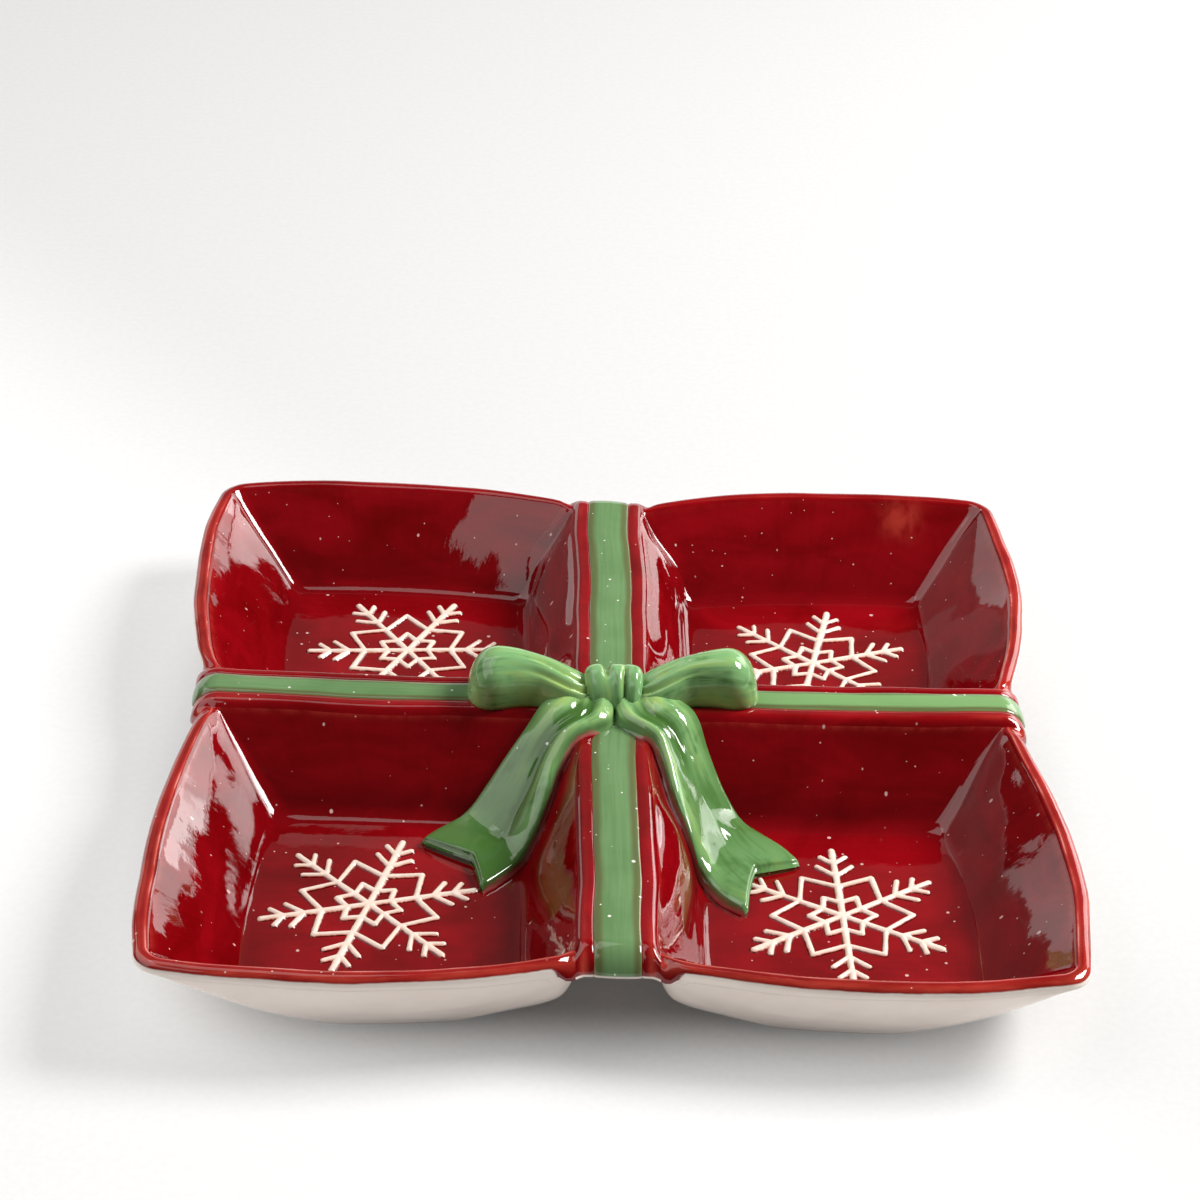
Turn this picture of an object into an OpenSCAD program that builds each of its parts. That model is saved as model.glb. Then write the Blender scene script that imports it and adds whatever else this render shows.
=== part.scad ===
// Divided serving bowl: four square wells under a ribbon cross, with a bow over the crossing.
// The cross lies along X and Y, the front of the bow faces -Y, and the feet stand on z = 0.

/* [Wells] */
// Distance from the middle of the dish to the rim where a strap crosses it
rim_reach = 137; // [124:1:150]
// How far the outer corners stand out past the rim at the straps
corner_out = 6.5; // [3:0.5:9]
// Bulge of each outer side between strap and corner
side_bulge = 8.2; // [3:0.2:11]
// Radius of the outer corners at the rim
corner_r = 9; // [6:0.5:13]
// Height of the rim above the table
rim_h = 35.5; // [32:0.5:40]
// Width of the rolled lip
lip_w = 5.5; // [4:0.1:7]
// Thickness of the well floors
floor_t = 6.5; // [5:0.1:8]
// Inset of the floor from the rim on the outer sides
floor_inset = 29; // [24:0.5:34]
// Run of the sloping wall between a strap and the floor
strap_wall_run = 15.6; // [12:0.2:20]
// Fillet between the walls and the floor
floor_fillet = 4; // [2:0.1:6]
// Corner radius of the floor and of the inside walls
well_corner_r = 8; // [6:0.1:10]
// Inset of the foot from the rim on the outer sides
foot_inset = 20; // [15:0.5:28]
// Inset of the foot from the edge of the straps
foot_strap_inset = 18; // [12:0.5:24]
// Corner radius of the foot
foot_corner_r = 22; // [12:0.5:28]

/* [Straps] */
// Width of a strap
strap_w = 26; // [24:0.2:30]
// Height of the strap beads above the table
strap_h = 37; // [36:0.1:42]
// Thickness of a strap at its middle
strap_t = 5; // [4:0.1:6]
// How far a strap end stands out past the rim
strap_overhang = 4; // [2:0.1:7]
// Straight run of the turned-down strap end below its bend
strap_end_run = 1.3; // [0.5:0.1:4]
// Radius inside the bend at the strap end
nose_in_r = 0.5; // [0.3:0.1:2]
// Height of the flat joint between a strap and a well
joint_h = 3.6; // [2.8:0.1:5]
// Fall of the bead toward the wells
bead_fall = 2.4; // [1.5:0.1:3]
// Fall of the bead toward the ribbon
bead_groove = 0.8; // [0.4:0.1:1]

/* [Ribbon] */
// Width of the ribbon laid into a strap
ribbon_w = 14.6; // [12:0.2:17]
// Thickness of the ribbon at its edges
ribbon_t = 1.2; // [1:0.1:2]
// Crown of the ribbon over its edges
ribbon_crown = 0.5; // [0.2:0.05:1]

/* [Bow] */
// Distance from the middle of the dish to the end of a loop
loop_reach = 49; // [42:0.5:56]
// Depth of a loop at its widest
loop_d = 24; // [20:0.5:28]
// Height of a loop at its tallest
loop_h = 16; // [12:0.5:20]
// Depth of a loop where it leaves the knot
loop_neck_d = 15; // [12:0.5:17]
// Height of a loop where it leaves the knot
loop_neck_h = 8.5; // [6:0.5:10]
// Backward shift of the loops off the strap's centre line
loop_shift = 2; // [0:0.1:3]
// Depth of the gathers where a loop leaves the knot
gather_depth = 1.4; // [0.4:0.1:2]
// Width of the knot
knot_w = 20.5; // [17:0.5:24]
// Depth of the knot
knot_d = 18; // [17:0.5:20]
// Height of the knot
knot_h = 11.5; // [10.5:0.5:14]
// Depth of the folds across the knot
knot_fold = 1.6; // [0.5:0.1:2.5]
// Sideways reach of the tails
tail_reach = 63.5; // [56:0.5:68]
// Forward reach of the left tail
tail_left_len = 74; // [68:0.5:84]
// Forward reach of the right tail
tail_right_len = 82; // [72:0.5:86]
// Thickness of a tail
tail_t = 4; // [3:0.1:6]
// Crown of a tail across its width
tail_crown = 1.5; // [0.5:0.1:3]
// Depth of the swallow-tail notch
tail_notch = 8; // [4:0.5:11]

/* [Snowflakes] */
// Distance from the tip of a snowflake to the edge of the floor
flake_margin = 7; // [6:0.5:16]
// Width of the raised lines
flake_line = 2.2; // [1.4:0.1:3]
// Height of the raised lines
flake_h = 1; // [0.5:0.1:1.5]

/* [Fit] */
// Gap in the seam between two pieces
seam = 0.3; // [0.2:0.05:0.5]

/* [Hidden] */
// Every sub-part, in the order it is drawn

red = [0.52, 0.03, 0.05];
green = [0.30, 0.42, 0.20];
leaf_green = [0.16, 0.36, 0.10];
cream = [0.93, 0.90, 0.82];

// Counts of points along the curves
corner_n = 6;
side_n = 6;
fillet_n = 3;
lip_n = 6;
wall_n = 7;
arm_n = 6;
nose_n = 6;
bead_n = 6;
crown_n = 6;
loop_n = 9;
loop_end_n = 6;
arch_n = 18;
knot_n = 18;
tail_rows = 20;
tail_cols = 8;
round_fn = 16;

// Shares, powers and angles that set the curves
sharp_share = 0.06;
bow_power = 1.5;
outer_power = 1.35;
lip_start = 150;
lip_end = -15;
belly_share = 0.35;
foot_share = 0.78;
loop_full_share = 0.72;
loop_end_share = 0.7;
loop_end_turn = 80;
gather_count = 3;
knot_end_share = 0.88;
knot_lobes = 3;
tail_side_share = 0.45;
tail_clear_share = 2;
tail_outer_shares = [[0.20, 0.00], [0.48, 0.02], [0.63, 0.40], [1.00, 0.66]];
tail_inner_shares = [[0.03, 0.00], [0.20, 0.30], [0.32, 0.68], [0.67, 1.00]];
flake_arms = 6;
flake_core_share = 0.1;
twig_place_shares = [0.64, 0.82];
twig_length_shares = [0.22, 0.15];
twig_turn = 48;
peak_shares = [0.44, 0.66];
heart_shares = [0.20, 0.31];
flake_turns = [15, 32, 3, 20];
flake_shift_shares = [[0.11, 0.08], [0.07, 0.13], [0, 0.08], [0.05, 0]];

// Strap edge, seen from the middle of the dish, and the wall that starts there
strap_half = strap_w / 2;
strap_reach = rim_reach + strap_overhang;
well_in = strap_half + seam;
shoulder_z = strap_h - bead_fall;
joint_z = shoulder_z - joint_h;
nose_r = bead_fall + joint_h + nose_in_r;
floor_in = well_in + strap_wall_run;
wall_slope = (shoulder_z - floor_t) / strap_wall_run;
ribbon_half = ribbon_w / 2;
bead_in = ribbon_half + seam;
bead_half = (strap_half - bead_in) / 2;
bead_mid = (strap_half + bead_in) / 2;

// Floor of a well in the quarter of the dish where x and y are positive
floor_out = rim_reach - floor_inset;
floor_edge = bowed(floor_out, (floor_in + floor_out) / 2);
floor_mid = (floor_in + floor_edge) / 2;
flake_r = (floor_edge - floor_in) / 2 - flake_margin;

// Bow seat, just clear of the crowned ribbons
seat_z = strap_h + ribbon_crown + seam;
loop_start = knot_w / 2 + seam;
tail_start = max(knot_d / 2, loop_d / 2 - loop_shift) + seam * tail_clear_share;

// Rolled lip: where its roll starts inside and ends outside
lip_r = lip_w / 2;
lip_z = rim_h - lip_r;
lip_in = lip_r * (1 - cos(lip_start));
lip_in_z = lip_z + lip_r * sin(lip_start);
lip_out = lip_r * (1 - cos(lip_end));
lip_out_z = lip_z + lip_r * sin(lip_end);
sharp_r = corner_r * sharp_share;

function limit(t) = max(0, min(1, t));
function ease(t) = let (c = limit(t)) c * c * (3 - 2 * c);
function mix(a, b, t) = a + (b - a) * t;
function flip(list) = [for (k = [len(list) - 1 : -1 : 0]) list[k]];
function bezier(p, t) = pow(1 - t, 3) * p[0] + 3 * t * pow(1 - t, 2) * p[1]
    + 3 * t * t * (1 - t) * p[2] + pow(t, 3) * p[3];

// Outward shift of an outer side, from the strap (0) to the corner (1)
function side_shift(t) = corner_out * t + side_bulge * 4 * t * (1 - t);
function side_share(p) = limit((p - well_in) / (rim_reach - well_in));
function bowed(p, q) = p + side_shift(side_share(q)) * pow(side_share(p), bow_power);

// Points of a ring round a well, each with its share of the outer side's height
function corner(c, r, a, w0, w1) = [
    for (k = [0 : corner_n])
        let (t = k / corner_n)
        [c.x + r * cos(a + 90 * t), c.y + r * sin(a + 90 * t), mix(w0, w1, t)]
];
function edge(p, q, w) = [
    for (k = [1 : side_n - 1])
        [mix(p.x, q.x, k / side_n), mix(p.y, q.y, k / side_n), w]
];
function ring_plan(i, o, ra, rb, rc) = concat(
    corner([o - rb, i + rb], rb, -90, 0, 1),
    edge([o, i + rb], [o, o - rc], 1),
    corner([o - rc, o - rc], rc, 0, 1, 1),
    edge([o - rc, o], [i + rb, o], 1),
    corner([i + rb, o - rb], rb, 90, 1, 0),
    edge([i, o - rb], [i, i + ra], 0),
    corner([i + ra, i + ra], ra, 180, 0, 0),
    edge([i + ra, i], [o - rb, i], 0)
);

// Ring round a well: inset i and height zi at the straps, inset d and height zo at the outer sides
function ring(i, zi, d, zo, ra, rb, rc) = [
    for (p = ring_plan(i, rim_reach - d, ra, rb, rc))
        [bowed(p.x, p.y), bowed(p.y, p.x), mix(zi, zo, ease(p.z))]
];

// Fillet between the floor and a wall that rises dz over a run of dx: [way in from the wall foot, height]
function fillet(dx, dz, t) =
    let (a = atan2(dz, dx), reach = floor_fillet * tan(a / 2), b = a * t)
    [reach - floor_fillet * sin(b), floor_fillet * (1 - cos(b))];

function well_rings() = concat(
    [
        for (k = [0 : fillet_n])
            let (s = fillet(strap_wall_run, shoulder_z - floor_t, k / fillet_n))
            let (o = fillet(floor_inset - lip_in, lip_in_z - floor_t, k / fillet_n))
            ring(floor_in + s[0], floor_t + s[1], floor_inset + o[0], floor_t + o[1],
                well_corner_r, well_corner_r, well_corner_r)
    ],
    [ring(well_in, shoulder_z, lip_in, lip_in_z, well_corner_r, well_corner_r, corner_r)],
    [
        for (k = [1 : lip_n])
            let (a = mix(lip_start, lip_end, k / lip_n))
            ring(well_in, mix(shoulder_z, joint_z, k / lip_n), lip_r * (1 - cos(a)), lip_z + lip_r * sin(a),
                sharp_r, sharp_r, corner_r)
    ],
    [
        for (k = [1 : wall_n])
            let (t = k / wall_n, a = 90 * t)
            ring(well_in + foot_strap_inset * (1 - cos(a)), joint_z * (1 - sin(a)),
                lip_out + (foot_inset - lip_out) * pow(t, outer_power), lip_out_z * (1 - t),
                mix(sharp_r, foot_corner_r, t), mix(sharp_r, foot_corner_r, t),
                mix(corner_r, foot_corner_r, t))
    ]
);

// Faces that close a ring: one face, or a strip between the two halves of a folded ring
function cap(list, folded) =
    let (n = len(list))
    !folded ? [list] : [
        for (k = [0 : n / 2 - 2], half = [0, 1])
            let (a = list[k], b = list[k + 1], c = list[n - 2 - k], d = list[n - 1 - k])
            half == 0 ? [a, b, c] : [a, c, d]
    ];

// Skin over a stack of rings with an equal count of points, closed at both ends
module loft(rings, folded = false) {
    n = len(rings[0]);
    m = len(rings);
    polyhedron(
        points = [for (r = rings) each r],
        faces = concat(
            cap([for (k = [n - 1 : -1 : 0]) k], folded),
            [
                for (j = [0 : m - 2], k = [0 : n - 1], half = [0, 1])
                    let (a = j * n + k, b = j * n + (k + 1) % n)
                    half == 0 ? [a, b, b + n] : [a, b + n, a + n]
            ],
            cap([for (k = [0 : n - 1]) (m - 1) * n + k], folded)
        )
    );
}

// Line of a strap's top from the crossing to the end of the turned-down lip: [x, z, angle of the normal]
function strap_path(start) = concat(
    [for (k = [0 : arm_n]) [mix(start, strap_reach - nose_r, k / arm_n), strap_h, 90]],
    [
        for (k = [1 : nose_n])
            let (a = 90 * (1 - k / nose_n))
            [strap_reach - nose_r + nose_r * cos(a), strap_h - nose_r + nose_r * sin(a), a]
    ],
    [[strap_reach, strap_h - nose_r - strap_end_run, 0]]
);

// Point of a strap section: e across the strap, h above its top line
function on_path(s, e, h) = [s[0] + h * cos(s[2]), e, s[1] + h * sin(s[2])];

// Half of a strap section, from its outer edge to the ribbon channel
function bead() = [
    for (k = [0 : bead_n])
        let (a = 180 * k / bead_n)
        [bead_mid + bead_half * cos(a), -(a < 90 ? bead_fall : bead_groove) * (1 - sin(a))]
];
function strap_section() =
    let (right = concat([[strap_half, -bead_fall - joint_h]], bead(), [[bead_in, -ribbon_t]]))
    concat(right, flip([for (p = right) [-p.x, p.y]]), [[0, -strap_t]]);

module strap_arm() {
    loft([for (s = flip(strap_path(well_in))) [for (p = strap_section()) on_path(s, p.x, p.y)]]);
}

function ribbon_section() = concat(
    [
        for (k = [0 : crown_n])
            let (u = 1 - 2 * k / crown_n)
            [ribbon_half * u, ribbon_crown * (1 - u * u)]
    ],
    [[-ribbon_half, seam - ribbon_t], [ribbon_half, seam - ribbon_t]]
);

module ribbon_strip() {
    loft([for (s = flip(strap_path(well_in))) [for (p = ribbon_section()) on_path(s, p.x, p.y)]]);
}

// Arched section of a bow piece that rests on the seat: centre y, half depth, height, fold depth
function arch(x, y, half, high, fold) = concat(
    [[x, y + half * foot_share, seat_z]],
    [
        for (k = [0 : arch_n])
            let (a = 180 * k / arch_n)
            let (dip = fold * pow(sin(a), 2) * (1 - cos(2 * gather_count * a)) / 2)
            [x, y + half * cos(a), seat_z + high * belly_share + (high * (1 - belly_share) - dip) * sin(a)]
    ],
    [[x, y - half * foot_share, seat_z]]
);

function loop_arch(s, end) =
    let (open = ease(s / loop_full_share))
    arch(mix(loop_start, loop_reach, s), loop_shift, mix(loop_neck_d, loop_d, open) / 2 * end,
        mix(loop_neck_h, loop_h, open) * end, gather_depth * (1 - s) * end);

module loop_solid() {
    loft(flip(concat(
        [for (k = [0 : loop_n]) loop_arch(loop_end_share * k / loop_n, 1)],
        [
            for (k = [1 : loop_end_n])
                let (a = loop_end_turn * k / loop_end_n)
                loop_arch(mix(loop_end_share, 1, sin(a) / sin(loop_end_turn)), cos(a))
        ]
    )));
}

// Height of the surface that the tails lie on, at the distance e from the crossing's edges
function support(e) =
    e <= bead_mid ? strap_h + ribbon_crown
    : e <= strap_half ? shoulder_z + bead_fall * sqrt(limit(1 - pow((e - bead_mid) / bead_half, 2)))
        + ribbon_crown * (strap_half - e) / bead_half
    : max(floor_t + flake_h, shoulder_z - max(0, e - well_in) * wall_slope);

// Distance of a point from the nearer strap's centre line, with the rounded corner between two walls
function strap_distance(p) =
    let (m = (abs(p.x) + abs(p.y)) / 2, d = abs(abs(p.x) - abs(p.y)) / 2, r = well_corner_r)
    d < r / 2 ? m - r + sqrt(r * r / 2 - d * d) : m - d;

function tail_edge(shares, len, t) =
    let (p = bezier(shares, t))
    [p.x * tail_reach, -tail_start - p.y * (len - tail_start)];

// Plan point of a tail: t along it, v across it from the inner edge (-1) to the outer edge (1)
function tail_plan(len, t, v) =
    let (stop = 1 - tail_notch / norm([tail_reach, len]) * (1 - abs(v)) * ease(t))
    mix(
        tail_edge(tail_inner_shares, len, t * stop),
        tail_edge(tail_outer_shares, len, t * stop),
        (1 + v) / 2
    );

function tail_top(p) = support(strap_distance(p) - tail_t * tail_side_share) + tail_t;

function tail_ring(len, t) =
    let (low = tail_top(tail_plan(len, t, -1)), high = tail_top(tail_plan(len, t, 1)))
    concat(
        [
            for (k = [0 : tail_cols])
                let (v = 2 * k / tail_cols - 1, p = tail_plan(len, t, v))
                [p.x, p.y, mix(low, high, (1 + v) / 2) + tail_crown * (1 - v * v)]
        ],
        [
            for (k = [tail_cols : -1 : 0])
                let (v = 2 * k / tail_cols - 1, p = tail_plan(len, t, v))
                [p.x, p.y, support(strap_distance(p) - seam * tail_clear_share) + seam]
        ]
    );

module tail_solid(len) {
    loft([for (k = [0 : tail_rows]) tail_ring(len, k / tail_rows)], true);
}

// Thin bar between two points
module bar(p, q) {
    translate(p)
        rotate(atan2(q.y - p.y, q.x - p.x))
            translate([0, -flake_line * flake_core_share / 2])
                square([norm(q - p), flake_line * flake_core_share]);
}

function polar(r, a) = [r * cos(a), r * sin(a)];

// One sixth of a snowflake: an arm, its twigs, and half of the peaks on either side
module flake_arm() {
    tip = flake_r - flake_line / 2;
    bar([0, 0], [tip, 0]);
    for (k = [0 : len(twig_place_shares) - 1], side = [-1, 1]) {
        foot = [tip * twig_place_shares[k], 0];
        bar(foot, foot + polar(tip * twig_length_shares[k], side * twig_turn));
    }
    for (pair = [peak_shares, heart_shares], side = [-1, 1])
        bar([tip * pair[0], 0], polar(tip * pair[1], side * 180 / flake_arms));
}

module flake(k, sx, sy) {
    shift = flake_shift_shares[k] * flake_r;
    color(cream)
        translate([sx * (floor_mid + shift.x), sy * (floor_mid + shift.y), floor_t])
            linear_extrude(flake_h)
                offset(r = flake_line * (1 - flake_core_share) / 2, $fn = round_fn)
                    for (arm = [1 : flake_arms])
                        rotate(360 * arm / flake_arms + flake_turns[k])
                            flake_arm();
}

module bowl_back_right() {
    color(red)
        loft(well_rings());
}

module bowl_back_left() {
    mirror([1, 0, 0])
        bowl_back_right();
}

module bowl_front_right() {
    mirror([0, 1, 0])
        bowl_back_right();
}

module bowl_front_left() {
    rotate(180)
        bowl_back_right();
}

module bridge_right() {
    color(red)
        strap_arm();
}

module bridge_back() {
    rotate(90)
        bridge_right();
}

module bridge_left() {
    rotate(180)
        bridge_right();
}

module bridge_front() {
    rotate(270)
        bridge_right();
}

module bridge_centre() {
    color(red)
        translate([-strap_half, -strap_half, strap_h - strap_t])
            cube([strap_w, strap_w, strap_t]);
}

module ribbon_right() {
    color(green)
        ribbon_strip();
}

module ribbon_back() {
    rotate(90)
        ribbon_right();
}

module ribbon_left() {
    rotate(180)
        ribbon_right();
}

module ribbon_front() {
    rotate(270)
        ribbon_right();
}

module bow_loop_right() {
    color(leaf_green)
        loop_solid();
}

module bow_loop_left() {
    mirror([1, 0, 0])
        bow_loop_right();
}

module bow_knot() {
    color(leaf_green)
        loft([
            for (k = [0 : knot_n])
                let (u = 1 - k / knot_n)
                let (end = mix(knot_end_share, 1, ease(2 * min(u, 1 - u))))
                let (lobe = abs(sin(180 * knot_lobes * u)))
                let (high = knot_h * end - knot_fold * (1 - lobe))
                arch(mix(-knot_w / 2, knot_w / 2, u), 0, knot_d / 2 * end, high, 0)
        ]);
}

module bow_tail_right() {
    color(leaf_green)
        tail_solid(tail_right_len);
}

module bow_tail_left() {
    color(leaf_green)
        mirror([1, 0, 0])
            tail_solid(tail_left_len);
}

module snowflake_front_left() {
    flake(0, -1, -1);
}

module snowflake_front_right() {
    flake(1, 1, -1);
}

module snowflake_back_left() {
    flake(2, -1, 1);
}

module snowflake_back_right() {
    flake(3, 1, 1);
}

bowl_front_left();
bowl_front_right();
bowl_back_left();
bowl_back_right();
bridge_front();
bridge_back();
bridge_left();
bridge_right();
bridge_centre();
ribbon_front();
ribbon_back();
ribbon_left();
ribbon_right();
bow_loop_left();
bow_loop_right();
bow_knot();
bow_tail_left();
bow_tail_right();
snowflake_front_left();
snowflake_front_right();
snowflake_back_left();
snowflake_back_right();
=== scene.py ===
"""Looks of a divided serving bowl: glazed dish, ribbons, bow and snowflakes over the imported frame.

Lengths are in millimetres until a mesh is made, and the axes are those of the frame.
"""
import math

import bpy
import numpy as np
from mathutils import Matrix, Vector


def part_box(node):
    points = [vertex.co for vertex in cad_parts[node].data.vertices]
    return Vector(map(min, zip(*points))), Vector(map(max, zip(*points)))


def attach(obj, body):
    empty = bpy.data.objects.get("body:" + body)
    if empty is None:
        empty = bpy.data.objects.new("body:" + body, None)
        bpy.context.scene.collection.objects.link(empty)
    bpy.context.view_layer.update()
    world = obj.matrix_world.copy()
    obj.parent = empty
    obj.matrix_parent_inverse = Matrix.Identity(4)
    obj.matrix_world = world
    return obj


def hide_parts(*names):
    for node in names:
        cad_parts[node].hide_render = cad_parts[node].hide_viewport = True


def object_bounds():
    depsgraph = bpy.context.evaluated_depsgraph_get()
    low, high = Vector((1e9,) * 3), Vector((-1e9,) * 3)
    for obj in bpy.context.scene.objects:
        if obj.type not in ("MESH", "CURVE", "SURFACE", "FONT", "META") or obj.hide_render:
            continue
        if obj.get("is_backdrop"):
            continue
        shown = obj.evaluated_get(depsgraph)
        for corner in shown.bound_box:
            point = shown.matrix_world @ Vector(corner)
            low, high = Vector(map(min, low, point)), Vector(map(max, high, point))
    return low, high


MM = 0.001
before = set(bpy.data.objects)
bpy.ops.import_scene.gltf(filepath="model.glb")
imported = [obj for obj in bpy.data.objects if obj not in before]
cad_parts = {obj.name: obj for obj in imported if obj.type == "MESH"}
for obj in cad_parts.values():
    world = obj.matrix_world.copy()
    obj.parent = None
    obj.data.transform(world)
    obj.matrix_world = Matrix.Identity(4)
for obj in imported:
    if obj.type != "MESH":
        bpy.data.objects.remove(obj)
CAD_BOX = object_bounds()


def span(node):
    """Lowest and highest corner of a CAD node."""
    low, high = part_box(node)
    return np.array(low) / MM, np.array(high) / MM


# Straps and ribbons: their widths, heights and reach are read from the frame
STRAP_HALF, _, STRAP_TOP = span("bridge_centre")[1]
STRAP_REACH = span("bridge_right")[1][0]
STRAP_END = span("bridge_right")[0][2]
RIBBON_HALF = span("ribbon_right")[1][1]
RIBBON_CROWN = span("ribbon_right")[1][2] - STRAP_TOP
BEAD_FALL = 2.4
BEAD_GROOVE = 0.7
CHANNEL_DEPTH = 0.9
CHANNEL_EDGE = 0.1
TOUCH = 0.01
CREST_IN, CREST_OUT = 9.0, 10.2
CEILING = 32.0
VAULT_POWER = 4
END_FLARE, FLARE_FROM, FLARE_START = 1.1, 8.0, 0.22

# Wells
RIM_H = span("bowl_back_right")[1][2]
RIM_REACH = 137.0
CORNER_OUT = 6.5
SIDE_BULGE = 8.2
CORNER_R = 6.0
CORNER_IN_R, CORNER_GROWN = 3.4, 0.5
LIP_R = 2.75
FLOOR_Z = span("snowflake_back_right")[0][2]
FLOOR_INSET = 29.0
WALL_RUN = 15.6
FLOOR_FILLET = 7.0
WELL_CORNER_R = 5.0
FOOT_INSET = 19.0
FOOT_STRAP_INSET = 21.0
FOOT_CORNER_R, FOOT_CORNER_POWER = 37.0, 0.6
FOOT_STRAP_R = 16.0
JOINT_Z = 31.0
BOW_POWER = 1.5
OUTER_POWER = 1.25
LIP_START, LIP_END = math.radians(150), math.radians(-15)
MERGE_START, MERGE_END = 11.0, 18.0

# Where the red stops: share of the way over the lip, way from the strap, and the bare lower edge of a strap
WRAP_SHARE = 0.70
WRAP_FROM, WRAP_FADE = 17.0, 5.0
TIP_BARE, TIP_SPAN = 1.6, (0.90, 0.10)
# Way down the outside that stands for the foot, and for the straps' underside from its middle to its tip
SOLE_DROP = 40.0
UNDER_DROP, UNDER_TIP = (12.0, 1.5), (0.965, 0.035)
# Pooled glaze and painted shade: width of the crease round the floor, share of painted shade over the walls,
# and more at their foot
CREASE_WIDTH = 0.7
WALL_PAINTED_SHADE, FOOT_POOL_AND_SHADE = 0.30, 0.5
# Thin glaze: at the top of a wall, on a strap's bead, and a band along the lip, with a painted highlight line
# along the lip's inner edge
WALL_THIN, WALL_THIN_SPAN = 0.4, (0.9, 0.1)
BEAD_WORN, BEAD_WORN_WIDTH = 2.6, 1.5
ARM_THIN, ARM_THIN_RUN = (0.15, 0.4), 22.0
END_THIN = (0.4, 0.8)
LIP_HIGHLIGHT_LINE, LIP_BAND, LIP_BAND_SHARE = (0.22, 0.06), (0.58, 0.22), 0.66
# The back lips have less thin glaze and a weaker painted highlight line
BACK_THIN_AND_HIGHLIGHT, BACK_SPAN = 0.35, (126.0, 10.0)

# Counts of points along the curves of the dish
CORNER_N = 12
SIDE_N = 34
FILLET_N = 7
WALL_N = 16
LIP_N = 14
OUTER_N = 22
FLOOR_N = 9
BEAD_N = 14
UNDER_N = 5
END_SHARE = 0.7

SHOULDER = STRAP_TOP - BEAD_FALL
FLOOR_IN = STRAP_HALF + WALL_RUN
LIP_Z = RIM_H - LIP_R


def ease(t):
    c = np.clip(t, 0, 1)
    return c * c * (3 - 2 * c)


def ramp(value, start, run):
    """0 up to the start, and 1 once the run is over."""
    return ease((value - start) / run)


def hill(value, top, width, power=2):
    """1 at the top, falling off on both sides."""
    return np.exp(-((value - top) / width) ** power)


def mix(a, b, t):
    return a + (b - a) * t


def shares(count):
    return np.linspace(0, 1, count + 1)


def steps(count):
    """Shares along a side, closer together at both ends."""
    t = shares(count)
    return mix(t, ease(t), END_SHARE)


def stack(*parts):
    return np.stack(np.broadcast_arrays(*parts), -1)


def swap(points):
    return points[..., [1, 0, 2]]


def lengths(points):
    """Distance along each row of points."""
    gaps = np.linalg.norm(np.diff(points, axis=-2), axis=-1)
    return np.concatenate([np.zeros(points.shape[:-2] + (1,)), np.cumsum(gaps, -1)], -1)


def lengths_down(points):
    """Distance down each column of points."""
    return lengths(points.transpose(1, 0, 2))


class Patchwork:
    """Grids of points that become one mesh, welded where their edges meet."""

    WELD = 0.02
    SHIFT = 0.137

    def __init__(self):
        self.points = []
        self.faces = []
        self.marks = {}
        self.count = 0

    def grid(self, points, up=None, closed=False, **marks):
        """Adds rows of points. up is the sign of the upward side, and closed joins the last column."""
        rows, cols = points.shape[:2]
        index = np.arange(rows * cols).reshape(rows, cols)
        if closed:
            index = np.concatenate([index, index[:, :1]], 1)
        quads = np.stack([index[:-1, :-1], index[:-1, 1:], index[1:, 1:], index[1:, :-1]], -1).reshape(-1, 4)
        flat = points.reshape(-1, 3)
        if up is not None and self.rise(flat, quads) * up < 0:
            quads = quads[:, ::-1]
        spread = [np.broadcast_to(values, points.shape).reshape(-1, 3) for values in marks.values()]
        self.take(flat, quads, dict(zip(marks, spread)))

    def take(self, flat, quads, marks):
        """Adds points with their faces and their marks."""
        self.points.append(flat)
        self.faces.append(quads + self.count)
        self.count += len(flat)
        for name, values in marks.items():
            self.marks.setdefault(name, []).append(values)

    @staticmethod
    def rise(flat, quads):
        a, b, c, d = (flat[quads[:, k]] for k in range(4))
        return np.cross(c - a, d - b)[:, 2].sum()

    def mesh(self, name, move):
        """Smooth mesh in metres, moved after the weld, with the marks at the faces' corners."""
        points, faces = np.concatenate(self.points), np.concatenate(self.faces)
        keys = np.round(points / self.WELD + self.SHIFT).astype(np.int64)
        _, first, same = np.unique(keys, axis=0, return_index=True, return_inverse=True)
        same = same.ravel()
        loops, polygons = [], []
        for face in faces:
            kept = [v for k, v in enumerate(face) if same[v] != same[face[k - 1]]]
            if len({same[v] for v in kept}) > 2:
                polygons.append([int(same[v]) for v in kept])
                loops += kept
        mesh = bpy.data.meshes.new(name)
        mesh.from_pydata((move(points[first]) * MM).tolist(), [], polygons)
        for mark, values in self.marks.items():
            layer = mesh.attributes.new(mark, "FLOAT_VECTOR", "CORNER")
            layer.data.foreach_set("vector", np.concatenate(values)[loops].astype(np.float32).ravel())
        mesh.shade_smooth()
        return mesh


# Plan and rings of a well, in the quarter of the dish where x and y are positive
def side_shift(t):
    return CORNER_OUT * t + SIDE_BULGE * 4 * t * (1 - t)


def side_share(p):
    return np.clip((p - STRAP_HALF) / (RIM_REACH - STRAP_HALF), 0, 1)


def bowed(p, q):
    return p + side_shift(side_share(q)) * side_share(p) ** BOW_POWER


def corner(x, y, r, start, w0, w1):
    t = shares(CORNER_N)
    a = np.radians(start + 90 * t)
    return stack(x + r * np.cos(a), y + r * np.sin(a), mix(w0, w1, t))


def side(p, q, w):
    t = steps(SIDE_N)[1:-1]
    return stack(mix(p[0], q[0], t), mix(p[1], q[1], t), w)


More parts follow.
